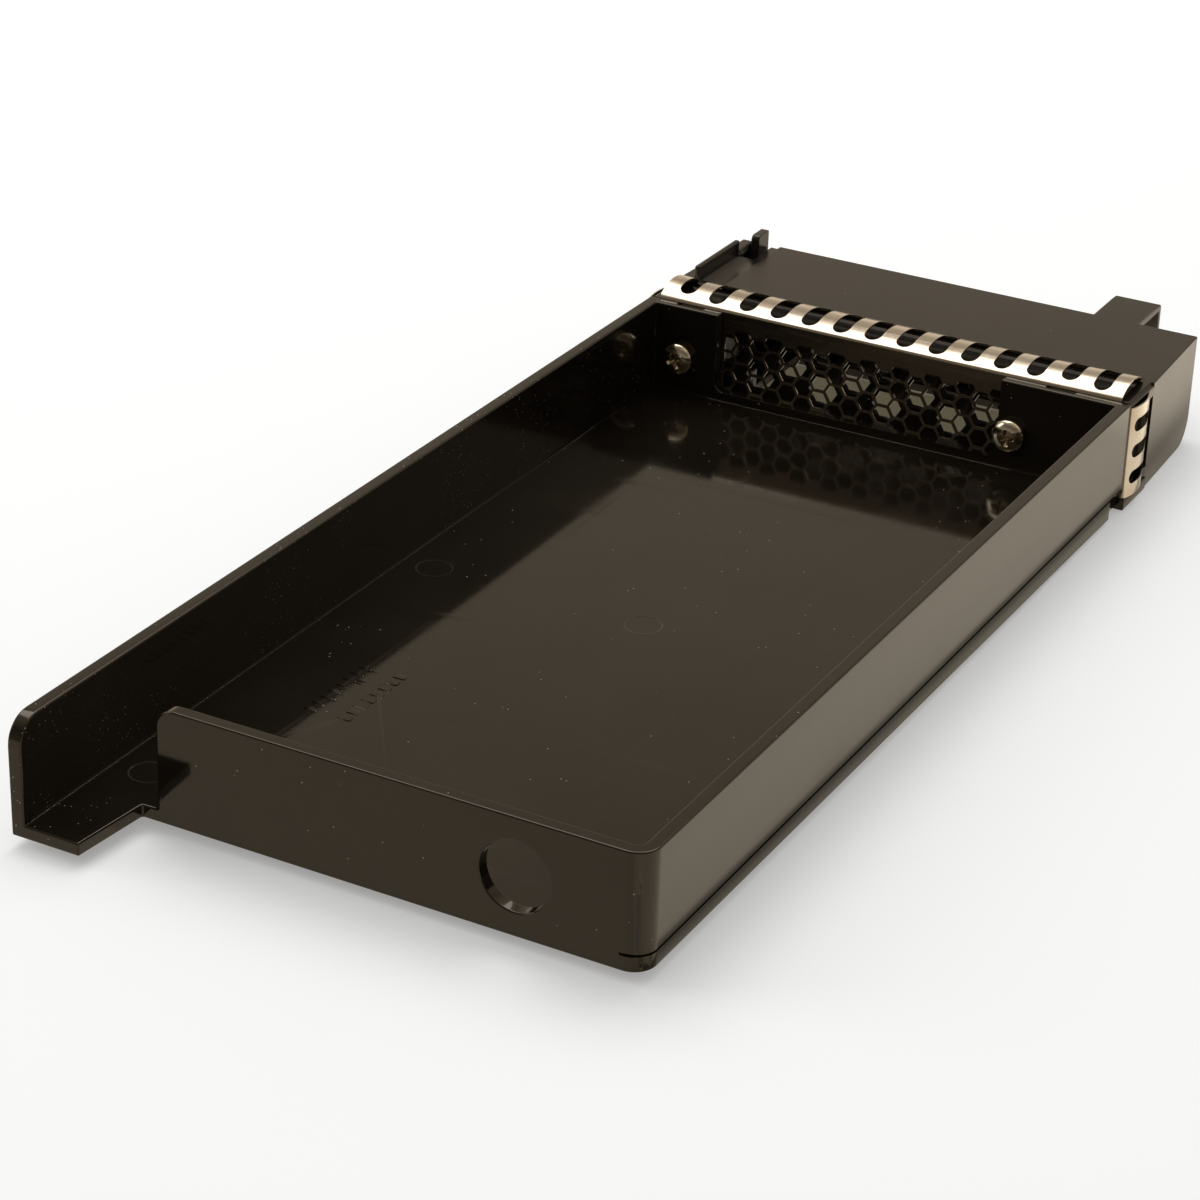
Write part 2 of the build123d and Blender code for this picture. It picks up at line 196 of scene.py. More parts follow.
class MaterialBoard(NodeBoard):
    """A material with one Principled shader, wired on Object coordinates."""

    edge_samples: int = 4
    edge_band: Ramp = Ramp(0.995, 0.8)

    def __init__(self, name: str) -> None:
        """Makes the material and its shader.

        Args:
            name: The material's name.
        """
        self.material = bpy.data.materials.new(name)
        self.material.use_nodes = True
        super().__init__(self.material.node_tree)
        self.tree.nodes.clear()
        self.shader = self.add("ShaderNodeBsdfPrincipled")
        self.add("ShaderNodeOutputMaterial", {"Surface": self.shader.outputs[0]})
        self.at = self.add("ShaderNodeTexCoord").outputs["Object"]

    def constant(self, **values: Value) -> None:
        """Sets inputs of the shader, with _ for each space in their names."""
        for name, value in values.items():
            self.shader.inputs[name.replace("_", " ")].default_value = value

    def wire(self, name: str, socket: bpy.types.NodeSocket) -> None:
        """Links a socket to an input of the shader."""
        self.tree.links.new(socket, self.shader.inputs[name])

    def along(self, axis: str) -> bpy.types.NodeSocket:
        """The Object coordinate along X, Y or Z, in metres."""
        return self.add("ShaderNodeSeparateXYZ", {0: self.at}).outputs[axis]

    def clouds(self, kind: Clouds) -> bpy.types.NodeSocket:
        """Lays out a noise pattern, mapped by its band where it has one.

        Args:
            kind: The pattern.

        Returns:
            Its strength at each point.
        """
        values = {"Vector": self.at, "Scale": kind.stretch}
        at = self.add("ShaderNodeMapping", values).outputs[0]
        values = {"Vector": at, "Scale": kind.scale, "Detail": kind.detail,
                  "Roughness": kind.roughness}
        noise = self.add("ShaderNodeTexNoise", values).outputs[0]
        return self.ramp(noise, kind.band) if kind.band else noise

    def mix(self, share: Value, first: Value, second: Value) -> bpy.types.NodeSocket:
        """Mixes two colours, with the share of the second."""
        values = {0: share, 6: first, 7: second}
        return self.add("ShaderNodeMix", values, data_type="RGBA").outputs[2]

    def specks(self, kind: Specks, share: Value) -> bpy.types.NodeSocket:
        """Throws small round specks at random.

        Args:
            kind: Their size and spacing.
            share: The share of cells that hold one.

        Returns:
            1 on a speck and 0 off it.
        """
        values = {"Vector": self.at, "Scale": kind.scale, "Randomness": 1.0}
        cells = self.add("ShaderNodeTexVoronoi", values)
        near = self.math("LESS_THAN", cells.outputs["Distance"], kind.size)
        pick = self.add("ShaderNodeSeparateColor", {"Color": cells.outputs["Color"]})
        return self.math("MULTIPLY", near, self.math("LESS_THAN", pick.outputs[0], share))

    def bump(self, height: bpy.types.NodeSocket, relief: Relief,
             under: Optional[bpy.types.NodeSocket] = None) -> bpy.types.NodeSocket:
        """Turns a height into a normal.

        Args:
            height: The height, 0 to 1.
            relief: How deep it stands out.
            under: A normal to add it to.

        Returns:
            The normal.
        """
        values = {"Height": height, "Distance": relief.depth, "Strength": relief.strength}
        if under is not None:
            values["Normal"] = under
        return self.add("ShaderNodeBump", values).outputs[0]

    def edges(self, radius: float) -> bpy.types.NodeSocket:
        """Finds the outer and inner edges of a piece.

        Args:
            radius: How far from an edge it reaches, in metres.

        Returns:
            0 on a flat, rising to 1 at an edge.
        """
        values = {"Radius": radius}
        rounded = self.add("ShaderNodeBevel", values, samples=self.edge_samples).outputs[0]
        straight = self.add("ShaderNodeNewGeometry").outputs["Normal"]
        facing = self.add("ShaderNodeVectorMath", {0: rounded, 1: straight},
                          operation="DOT_PRODUCT")
        return self.ramp(facing.outputs["Value"], self.edge_band)


class Finish:
    """A finish that can be put on any piece. Its material is made once."""

    name: str = ""

    def build(self) -> bpy.types.Material:
        """Makes the material."""
        raise NotImplementedError

    def material(self) -> bpy.types.Material:
        """Gives the material, made at its first use."""
        return bpy.data.materials.get(self.name) or self.build()


@dataclass(frozen=True)
class PolishedMoulding(Finish):
    """Black plastic with a polished skin: smudges, dust, hair scratches and flow marks."""

    name: str = "polished_black_moulding"
    deep: Colour = (0.0060, 0.0043, 0.0028, 1)
    worn: Colour = (0.0100, 0.0074, 0.0050, 1)
    dust: Colour = (0.30, 0.27, 0.23, 1)
    tint: Colour = (1.0, 0.90, 0.74, 1)
    specular: float = 0.5
    refraction: float = 1.49
    wear: Clouds = Clouds(38, 5, 0.62, Ramp(0.35, 0.65))
    smudges: Clouds = Clouds(21, 6, 0.6, Ramp(0.50, 0.72, 0.075, 0.16))
    hairs: Clouds = Clouds(420, 2, 0.5, Ramp(0.63, 0.70), (1, 0.02, 1))
    cross_hairs: Clouds = Clouds(300, 2, 0.5, Ramp(0.66, 0.72), (0.03, 1, 0.3))
    hair_roughness: float = 0.06
    hair_relief: Relief = Relief(-0.000006, 0.6)
    waves: Clouds = Clouds(9, 1, 0.4)
    wave_relief: Relief = Relief(0.0008, 0.3)
    skin: Clouds = Clouds(1500, 2, 0.5)
    skin_relief: Relief = Relief(0.000006, 0.5)
    wall_dust: Ramp = Ramp(-0.0490, -0.0530, 0.010, 0.20)
    tab_dust: Ramp = Ramp(-0.1185, -0.1200, 0.0, 0.03)
    tab_side: Ramp = Ramp(-0.038, -0.036, 1.0, 0.0)
    dust_patches: Clouds = Clouds(55, 3, 0.6, Ramp(0.45, 0.62, 0.15, 1.0))
    fine_dust: Specks = Specks(1900, 0.24)
    coarse_dust: Specks = Specks(650, 0.08)
    coarse_share: float = 0.009
    dust_roughness: float = 0.8
    pin_across: float = 0.0438
    pin_along: float = 0.09005
    pin_middle: float = -0.02065
    pin_radius: float = 0.0034
    floor_top: float = 0.0044
    ring_line: Ramp = Ramp(0.00008, 0.00022, 1.0, 0.0)
    ring_level: Ramp = Ramp(0.0002, 0.0003, 1.0, 0.0)
    ring_along: Ramp = Ramp(0.02, 0.06, 0.12, 0.02)
    ring_wear: Clouds = Clouds(38, 5, 0.62, Ramp(0.35, 0.5, 0.4, 1.0))

    def build(self) -> bpy.types.Material:
        """Makes the material.

        Returns:
            The polished black plastic.
        """
        board = MaterialBoard(self.name)
        dust = self.dusting(board)
        plastic = board.mix(board.clouds(self.wear), self.deep, self.worn)
        board.wire("Base Color", board.mix(dust, plastic, self.dust))
        scratch = board.math("MAXIMUM", board.clouds(self.hairs), board.clouds(self.cross_hairs))
        rough = board.math("MULTIPLY", scratch, self.hair_roughness)
        rough = board.math("ADD", board.clouds(self.smudges), rough)
        dull = board.math("MULTIPLY", dust, self.dust_roughness)
        board.wire("Roughness", board.math("MAXIMUM", rough, dull))
        waves = board.bump(board.clouds(self.waves), self.wave_relief)
        skin = board.bump(board.clouds(self.skin), self.skin_relief, waves)
        board.wire("Normal", board.bump(scratch, self.hair_relief, skin))
        board.constant(Specular_IOR_Level=self.specular, IOR=self.refraction,
                       Specular_Tint=self.tint)
        return board.material

    def dusting(self, board: MaterialBoard) -> bpy.types.NodeSocket:
        """Finds the dust: most on the left wall, some on the tab, a little all over.

        Args:
            board: The material's board.

        Returns:
            1 on a speck, 0 on clean plastic.
        """
        across = board.along("X")
        forward = board.along("Y")
        on_tab = board.math("MULTIPLY", board.ramp(forward, self.tab_dust),
                            board.ramp(across, self.tab_side))
        dusty = board.math("MAXIMUM", board.ramp(across, self.wall_dust), on_tab)
        patches = board.clouds(self.dust_patches)
        fine = board.specks(self.fine_dust, board.math("MULTIPLY", dusty, patches))
        coarse = board.specks(self.coarse_dust,
                              board.math("MULTIPLY", patches, self.coarse_share))
        rings = board.math("MULTIPLY", self.pin_rings(board),
                           board.ramp(forward, self.ring_along), board.clouds(self.ring_wear))
        return board.math("MAXIMUM", fine, coarse, rings)

    def pin_rings(self, board: MaterialBoard) -> bpy.types.NodeSocket:
        """Finds the pale lines round the ejector-pin marks on the floor.

        Args:
            board: The material's board.

        Returns:
            1 on a line, 0 elsewhere.
        """
        squares = []
        for axis, step, middle in (("X", self.pin_across, 0.0),
                                   ("Y", self.pin_along, self.pin_middle)):
            way = board.distance(board.along(axis), middle)
            nearest = board.math("MINIMUM", way, board.distance(way, step))
            squares.append(board.math("POWER", nearest, 2.0))
        radius = board.math("SQRT", board.math("ADD", *squares))
        line = board.ramp(board.distance(radius, self.pin_radius), self.ring_line)
        level = board.distance(board.along("Z"), self.floor_top)
        return board.math("MULTIPLY", line, board.ramp(level, self.ring_level))


@dataclass(frozen=True)
class MattMoulding(Finish):
    """Black plastic with a fine spark-eroded grain, rubbed a little paler on its edges."""

    name: str = "matt_black_moulding"
    deep: Colour = (0.0080, 0.0062, 0.0046, 1)
    faded: Colour = (0.0120, 0.0093, 0.0069, 1)
    rubbed: Colour = (0.0500, 0.0420, 0.0350, 1)
    dust: Colour = (0.30, 0.27, 0.23, 1)
    tint: Colour = (1.0, 0.85, 0.70, 1)
    specular: float = 0.42
    refraction: float = 1.45
    fading: Clouds = Clouds(45, 5, 0.6, Ramp(0.35, 0.65))
    uneven: Clouds = Clouds(160, 4, 0.6, Ramp(0.40, 0.60, 0.2, 1.0))
    edge_reach: float = 0.0003
    rubbed_share: float = 0.6
    rubbed_polish: float = 0.10
    specks: Specks = Specks(520, 0.07)
    speck_share: float = 0.05
    matt: Clouds = Clouds(30, 4, 0.6, Ramp(0.35, 0.65, 0.17, 0.24))
    grain: Clouds = Clouds(1900, 3, 0.6)
    grain_relief: Relief = Relief(0.00004, 0.6)
    waves: Clouds = Clouds(14, 1, 0.4)
    wave_relief: Relief = Relief(0.0006, 0.3)

    def build(self) -> bpy.types.Material:
        """Makes the material.

        Returns:
            The matt black plastic.
        """
        board = MaterialBoard(self.name)
        plastic = board.mix(board.clouds(self.fading), self.deep, self.faded)
        wear = board.math("MULTIPLY", board.edges(self.edge_reach), board.clouds(self.uneven))
        rubbed = board.math("MULTIPLY", wear, self.rubbed_share)
        plastic = board.mix(rubbed, plastic, self.rubbed)
        dust = board.specks(self.specks, self.speck_share)
        board.wire("Base Color", board.mix(dust, plastic, self.dust))
        polish = board.math("MULTIPLY", wear, self.rubbed_polish)
        board.wire("Roughness", board.math("SUBTRACT", board.clouds(self.matt), polish))
        pits = board.bump(board.clouds(self.grain), self.grain_relief)
        board.wire("Normal", board.bump(board.clouds(self.waves), self.wave_relief, pits))
        board.constant(Specular_IOR_Level=self.specular, IOR=self.refraction,
                       Specular_Tint=self.tint)
        return board.material


@dataclass(frozen=True)
class BrightSheet(Finish):
    """Bright rolled sheet with a fine grain, with painted shade: a darker colour on the flat web
    behind the window.
    """

    name: str = "bright_rolled_sheet"
    bright: Colour = (0.58, 0.53, 0.46, 1)
    warm: Colour = (0.53, 0.46, 0.37, 1)
    tarnish: Colour = (0.30, 0.25, 0.20, 1)
    # Painted shade: the darker colour put on the flat web faces behind the window.
    dull: Colour = (0.42, 0.36, 0.28, 1)
    tone: Clouds = Clouds(120, 4, 0.6, Ramp(0.38, 0.62))
    spots: Clouds = Clouds(260, 5, 0.7, Ramp(0.62, 0.74, 0.0, 0.5))
    rolled: Clouds = Clouds(900, 4, 0.6, None, (0.05, 1, 1))
    rolled_share: float = 0.7
    crossed: Clouds = Clouds(600, 3, 0.6, None, (1, 0.08, 1))
    crossed_share: float = 0.3
    gloss: Ramp = Ramp(0.35, 0.65, 0.13, 0.28)
    relief: Relief = Relief(0.000015, 0.5)
    facing: Ramp = Ramp(0.90, 0.98)
    web: Ramp = Ramp(0.0818, 0.0820, 1.0, 0.0)

    def build(self) -> bpy.types.Material:
        """Makes the material.

        Returns:
            The bright sheet metal.
        """
        board = MaterialBoard(self.name)
        metal = board.mix(board.clouds(self.tone), self.bright, self.warm)
        metal = board.mix(board.clouds(self.spots), metal, self.tarnish)
        normal = board.add("ShaderNodeNewGeometry").outputs["Normal"]
        facing = board.add("ShaderNodeSeparateXYZ", {0: normal}).outputs["Y"]
        flat = board.ramp(board.math("ABSOLUTE", facing), self.facing)
        # Painted shade: the web's flat faces take the darker colour.
        painted_web_shade = board.math("MULTIPLY", flat, board.ramp(board.along("Y"), self.web))
        board.wire("Base Color", board.mix(painted_web_shade, metal, self.dull))
        grain = board.math(
            "ADD", board.math("MULTIPLY", board.clouds(self.rolled), self.rolled_share),
            board.math("MULTIPLY", board.clouds(self.crossed), self.crossed_share))
        board.wire("Roughness", board.ramp(grain, self.gloss))
        board.wire("Normal", board.bump(grain, self.relief))
        board.constant(Metallic=1.0)
        return board.material


@dataclass(frozen=True)
class PlainMetal(Finish):
    """Bare metal in two tones, with a fine grain."""

    bright: Colour = (0.6, 0.6, 0.6, 1)
    dull: Colour = (0.4, 0.4, 0.4, 1)
    tone: Clouds = Clouds(500, 4, 0.6)
    gloss: Clouds = Clouds(900, 4, 0.6)
    grain: Clouds = Clouds(1500, 3, 0.6)
    relief: Relief = Relief(0.00001, 0.5)

    def build(self) -> bpy.types.Material:
        """Makes the material.

        Returns:
            The metal.
        """
        board = MaterialBoard(self.name)
        board.wire("Base Color", board.mix(board.clouds(self.tone), self.bright, self.dull))
        board.wire("Roughness", board.clouds(self.gloss))
        board.wire("Normal", board.bump(board.clouds(self.grain), self.relief))
        board.constant(Metallic=1.0)
        return board.material


@dataclass(frozen=True)
class PlatedScrew(PlainMetal):
    """Bright, slightly yellow plate with scuffs where a driver has turned."""

    name: str = "nickel_plate"
    bright: Colour = (0.70, 0.63, 0.50, 1)
    dull: Colour = (0.50, 0.44, 0.33, 1)
    tone: Clouds = Clouds(600, 5, 0.65, Ramp(0.42, 0.64))
    gloss: Clouds = Clouds(900, 4, 0.6, Ramp(0.35, 0.65, 0.07, 0.18))
    relief: Relief = Relief(0.000008, 0.5)


@dataclass(frozen=True)
class DrawnSteel(PlainMetal):
    """Plain drawn steel for the hidden pin and spring."""

    name: str = "drawn_steel"
    bright: Colour = (0.62, 0.61, 0.59, 1)
    dull: Colour = (0.38, 0.35, 0.31, 1)
    tone: Clouds = Clouds(500, 4, 0.6, Ramp(0.4, 0.65))
    gloss: Clouds = Clouds(2600, 2, 0.5, Ramp(0.35, 0.65, 0.24, 0.42), (0.05, 1, 1))
    grain: Clouds = Clouds(2600, 2, 0.5, None, (0.05, 1, 1))


class GeometryBoard(NodeBoard):
    """A Geometry Nodes tree with named inputs and one geometry in and out."""

    def __init__(self, name: str, inputs: dict[str, Sequence[str]]) -> None:
        """Makes the tree and its sockets.

        Args:
            name: The tree's name.
            inputs: The names of its inputs, by their kind.
        """
        tree = bpy.data.node_groups.new(name, "GeometryNodeTree")
        super().__init__(tree)
        sockets = tree.interface
        sockets.new_socket("Geometry", in_out="OUTPUT", socket_type="NodeSocketGeometry")
        sockets.new_socket("Geometry", in_out="INPUT", socket_type="NodeSocketGeometry")
        self.keys: dict[str, str] = {}
        for kind, labels in inputs.items():
            for label in labels:
                made = sockets.new_socket(label, in_out="INPUT", socket_type="NodeSocket" + kind)
                self.keys[label] = made.identifier
        self.given = self.add("NodeGroupInput").outputs

    def finish(self, geometry: bpy.types.NodeSocket) -> None:
        """Ends the tree in real geometry with its finish on.

        Args:
            geometry: What the tree has made.
        """
        real = self.add("GeometryNodeRealizeInstances", {"Geometry": geometry}).outputs[0]
        values = {"Geometry": real, "Material": self.given["Finish"]}
        dressed = self.add("GeometryNodeSetMaterial", values).outputs[0]
        self.add("NodeGroupOutput", {0: dressed})

    def put_on(self, piece: bpy.types.Object, values: dict[str, object]) -> None:
        """Puts the tree on a piece, with its inputs set.

        Args:
            piece: The object that takes the modifier.
            values: Each input's name and value.
        """
        modifier = piece.modifiers.new(self.tree.name, "NODES")
        modifier.node_group = self.tree
        for label, value in values.items():
            modifier[self.keys[label]] = value


class Punching(GeometryBoard):
    """Punches rows of holes through a sheet, in straight or staggered columns."""

    near_edge: float = 0.0001
    half_count: float = 0.1

    def __init__(self) -> None:
        """Builds the tree."""
        super().__init__("punched_rows", {
            "Object": ("Punch", "Short Punch"),
            "Int": ("Short First", "Short Second", "Columns", "Rows"),
            "Float": ("Column Pitch", "Row Pitch"),
            "Bool": ("Stagger",),
            "Vector": ("Turn", "Middle", "Border"),
            "Material": ("Finish",),
        })
        given = self.given
        places = self.places()
        index = self.add("GeometryNodeInputIndex").outputs[0]
        short = self.math("MAXIMUM", self.same(index, given["Short First"]),
                          self.same(index, given["Short Second"]))
        common = self.punches(places, "Punch", self.math("SUBTRACT", 1.0, short))
        joined = self.add("GeometryNodeJoinGeometry", {0: common})
        self.tree.links.new(self.punches(places, "Short Punch", short), joined.inputs[0])
        values = {"Geometry": joined.outputs[0], "Rotation": given["Turn"],
                  "Translation": given["Middle"]}
        tools = self.add("GeometryNodeTransform", values).outputs[0]
        block = self.add("GeometryNodeMeshCube", {"Size": given["Border"]}).outputs[0]
        values = {"Geometry": block, "Translation": given["Middle"]}
        border = self.add("GeometryNodeTransform", values).outputs[0]
        trimmed = self.add("GeometryNodeMeshBoolean", {1: tools}, operation="INTERSECT",
                           solver="MANIFOLD")
        self.tree.links.new(border, trimmed.inputs[1])
        values = {0: given["Geometry"], 1: trimmed.outputs[0]}
        cut = self.add("GeometryNodeMeshBoolean", values, operation="DIFFERENCE",
                       solver="MANIFOLD")
        self.finish(cut.outputs[0])

    def places(self) -> bpy.types.NodeSocket:
        """Lays out the middles of the holes: every other column half a pitch up if staggered.

        Returns:
            The points.
        """
        given = self.given
        width = self.reach("Columns", "Column Pitch")
        height = self.reach("Rows", "Row Pitch")
        values = {"Vertices X": given["Columns"], "Vertices Y": given["Rows"],
                  "Size X": width, "Size Y": height}
        grid = self.add("GeometryNodeMeshGrid", values).outputs[0]
        position = self.add("GeometryNodeInputPosition").outputs[0]
        at = self.add("ShaderNodeSeparateXYZ", {0: position}).outputs
        from_left = self.math("ADD", at["X"], self.math("MULTIPLY", width, 0.5))
        column = self.math("ROUND", self.math("DIVIDE", from_left, given["Column Pitch"]))
        even = self.math("SUBTRACT", 1.0, self.math("MODULO", column, 2.0))
        moved = self.math("MULTIPLY", even, given["Stagger"])
        edge = self.math("SUBTRACT", self.math("MULTIPLY", height, 0.5), self.near_edge)
        spare = self.math("MULTIPLY", moved, self.math("GREATER_THAN", at["Y"], edge))
        values = {"Geometry": grid, "Selection": spare}
        kept = self.add("GeometryNodeDeleteGeometry", values, domain="POINT").outputs[0]
        shift = self.math("MULTIPLY", moved, given["Row Pitch"], 0.5)
        offset = self.add("ShaderNodeCombineXYZ", {"Y": shift}).outputs[0]
        values = {"Geometry": kept, "Offset": offset}
        return self.add("GeometryNodeSetPosition", values).outputs[0]

    def reach(self, count: str, pitch: str) -> bpy.types.NodeSocket:
        """The length of a row, from the inputs that hold its count and its pitch."""
        steps = self.math("SUBTRACT", self.given[count], 1.0)
        return self.math("MULTIPLY", steps, self.given[pitch])

    def same(self, first: Value, second: Value) -> bpy.types.NodeSocket:
        """1 where two whole numbers are the same, else 0."""
        values = {0: first, 1: second, 2: self.half_count}
        return self.add("ShaderNodeMath", values, operation="COMPARE").outputs[0]

    def punches(self, places: Value, tool: str, chosen: Value) -> bpy.types.NodeSocket:
        """Stands one punch on each chosen place.

        Args:
            places: The points.
            tool: The input that holds the punch.
            chosen: 1 on the points to use.

        Returns:
            The punches as a real mesh.
        """
        shape = self.add("GeometryNodeObjectInfo", {"Object": self.given[tool]})
        values = {"Points": places, "Selection": chosen, "Instance": shape.outputs["Geometry"]}
        set_out = self.add("GeometryNodeInstanceOnPoints", values).outputs[0]
        return self.add("GeometryNodeRealizeInstances", {"Geometry": set_out}).outputs[0]


class Coiling(GeometryBoard):
    """Winds a tapering compression spring with a closed turn at each end."""

    turn_steps: int = 28
    wire_sides: int = 12

    def __init__(self) -> None:
        """Builds the tree."""
        super().__init__("wound_spring", {
            "Float": ("Turns", "Radius", "Tip", "Height", "Wire"),
            "Vector": ("Foot",),
            "Material": ("Finish",),
        })
        given = self.given
        values = {"Resolution": self.turn_steps, "Rotations": given["Turns"],
                  "Start Radius": given["Radius"], "End Radius": given["Tip"], "Height": 0.0}
        spiral = self.add("GeometryNodeCurveSpiral", values).outputs[0]
        lift = self.add("ShaderNodeCombineXYZ", {"Z": self.level()}).outputs[0]
        path = self.add("GeometryNodeSetPosition", {"Geometry": spiral, "Offset": lift})
        values = {"Resolution": self.wire_sides,
                  "Radius": self.math("MULTIPLY", given["Wire"], 0.5)}
        ring = self.add("GeometryNodeCurvePrimitiveCircle", values).outputs[0]
        values = {"Curve": path.outputs[0], "Profile Curve": ring, "Fill Caps": True}
        wire = self.add("GeometryNodeCurveToMesh", values).outputs[0]
        values = {"Geometry": wire, "Translation": given["Foot"]}
        self.finish(self.add("GeometryNodeTransform", values).outputs[0])

    def level(self) -> bpy.types.NodeSocket:
        """The height of the wire's middle: slow in the end turns, even between them.

        Returns:
            The height above the foot.
        """
        given = self.given
        share = self.add("GeometryNodeSplineParameter").outputs["Factor"]
        turn = self.math("MULTIPLY", share, given["Turns"])
        free = self.math("SUBTRACT", given["Turns"], 2.0)
        first = self.math("MINIMUM", turn, 1.0)
        last = self.math("MAXIMUM", self.math("SUBTRACT", turn, free, 1.0), 0.0)
        ends = self.math("MULTIPLY", self.math("ADD", first, last, 0.5), given["Wire"])
        rise = self.math("SUBTRACT", given["Height"], self.math("MULTIPLY", given["Wire"], 3.0))
        part = self.math("DIVIDE", self.math("SUBTRACT", turn, 1.0), free)
        part = self.math("MINIMUM", self.math("MAXIMUM", part, 0.0), 1.0)
        return self.math("ADD", ends, self.math("MULTIPLY", part, rise))


class Workshop:
    """Makes, finishes and hands over the objects of the scene."""

    weld: float = 1e-7

    @staticmethod
    def object_from(mesh: bpy.types.Mesh, name: str) -> bpy.types.Object:
        """Puts a mesh into the scene.

        Args:
            mesh: The mesh.
            name: The object's name.

        Returns:
            The new object.
        """
        made = bpy.data.objects.new(name, mesh)
        bpy.context.scene.collection.objects.link(made)
        return made

    @classmethod
    def from_bmesh(cls, work: bmesh.types.BMesh, name: str) -> bpy.types.Object:
        """Turns worked geometry into an object, with its faces outwards.

        Args:
            work: The geometry, which is freed.
            name: The object's name.

        Returns:
            The new object.
        """
        bmesh.ops.remove_doubles(work, verts=work.verts, dist=cls.weld)
        bmesh.ops.recalc_face_normals(work, faces=work.faces)
        mesh = bpy.data.meshes.new(name)
        work.to_mesh(mesh)
        work.free()
        return cls.object_from(mesh, name)

    @staticmethod
    def add_prism(work: bmesh.types.BMesh, lower: Sequence[Triple],
                  upper: Sequence[Triple]) -> None:
        """Adds a closed prism between two outlines with as many corners.

        Args:
            work: The geometry to add to.
            lower: The corners of one outline, in millimetres.
            upper: The corners of the other.
        """
        rings = [[work.verts.new(Vector(corner) * MM) for corner in ring]
                 for ring in (lower, upper)]
        for ring in rings:
            work.faces.new(ring)
        for i in range(len(lower)):
            j = (i + 1) % len(lower)
            work.faces.new((rings[0][i], rings[0][j], rings[1][j], rings[1][i]))

    @classmethod
    def prism(cls, name: str, outline: Sequence[Flat], depth: float) -> bpy.types.Object:
        """A punch: a flat outline made solid both ways along Z.

        Args:
            name: The punch's name.
            outline: Its corners in millimetres.
            depth: How far it reaches each way, in millimetres.

        Returns:
            The punch.
        """
        work = bmesh.new()
        cls.add_prism(work, *([(x, y, z) for x, y in outline] for z in (-depth, depth)))
        return cls.from_bmesh(work, name)

    @staticmethod
    def polygon(radius: float, sides: int) -> list[Flat]:
        """The corners of a regular polygon, the first of them on X."""
        turns = [2 * math.pi * i / sides for i in range(sides)]
        return [(radius * math.cos(turn), radius * math.sin(turn)) for turn in turns]

    @staticmethod
    def settle(piece: bpy.types.Object) -> bpy.types.Object:
        """Makes a piece's modifiers part of its mesh and removes them.

        Args:
            piece: The object.

        Returns:
            The same object with a plain mesh.
        """
        graph = bpy.context.evaluated_depsgraph_get()
        graph.update()
        solid = bpy.data.meshes.new_from_object(piece.evaluated_get(graph), depsgraph=graph)
        piece.modifiers.clear()
        piece.data = solid
        solid.name = piece.name
        return piece

    @classmethod
    def drop_slivers(cls, mesh: bpy.types.Mesh) -> None:
        """Takes the faces and edges of no size out of a mesh, which stays closed.

        Args:
            mesh: The mesh.
        """
        work = bmesh.new()
        work.from_mesh(mesh)
        bmesh.ops.dissolve_degenerate(work, dist=cls.weld, edges=work.edges)
        work.to_mesh(mesh)
        work.free()

    @staticmethod
    def discard(pieces: Sequence[bpy.types.Object]) -> None:
        """Removes tools that aren't needed any more."""
        for piece in pieces:
            bpy.data.objects.remove(piece)

    @staticmethod
    def smooth(piece: bpy.types.Object, crease: float) -> None:
        """Shades a piece smoothly up to a crease angle in degrees."""
        piece.data.shade_smooth()
        piece.data.set_sharp_from_angle(angle=math.radians(crease))

    @staticmethod
    def hand_over(piece: bpy.types.Object, body: Body, slot: Slot, finish: Finish,
                  nodes: Sequence[str]) -> bpy.types.Object:
        """Dresses a piece, hangs it on its body and hides the CAD nodes that it stands for.

        Args:
            piece: The finished object.
            body: The body that it rides on.
            slot: The record's slot for the piece; not used.
            finish: Its finish.
            nodes: The CAD nodes that it replaces.

        Returns:
            The same object.
        """
        piece.data.materials.clear()
        piece.data.materials.append(finish.material())
        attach(piece, body.value)
        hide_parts(*nodes)
        LOG.info("%s: %d faces, rides on %s", piece.name, len(piece.data.polygons), body.value)
        return piece


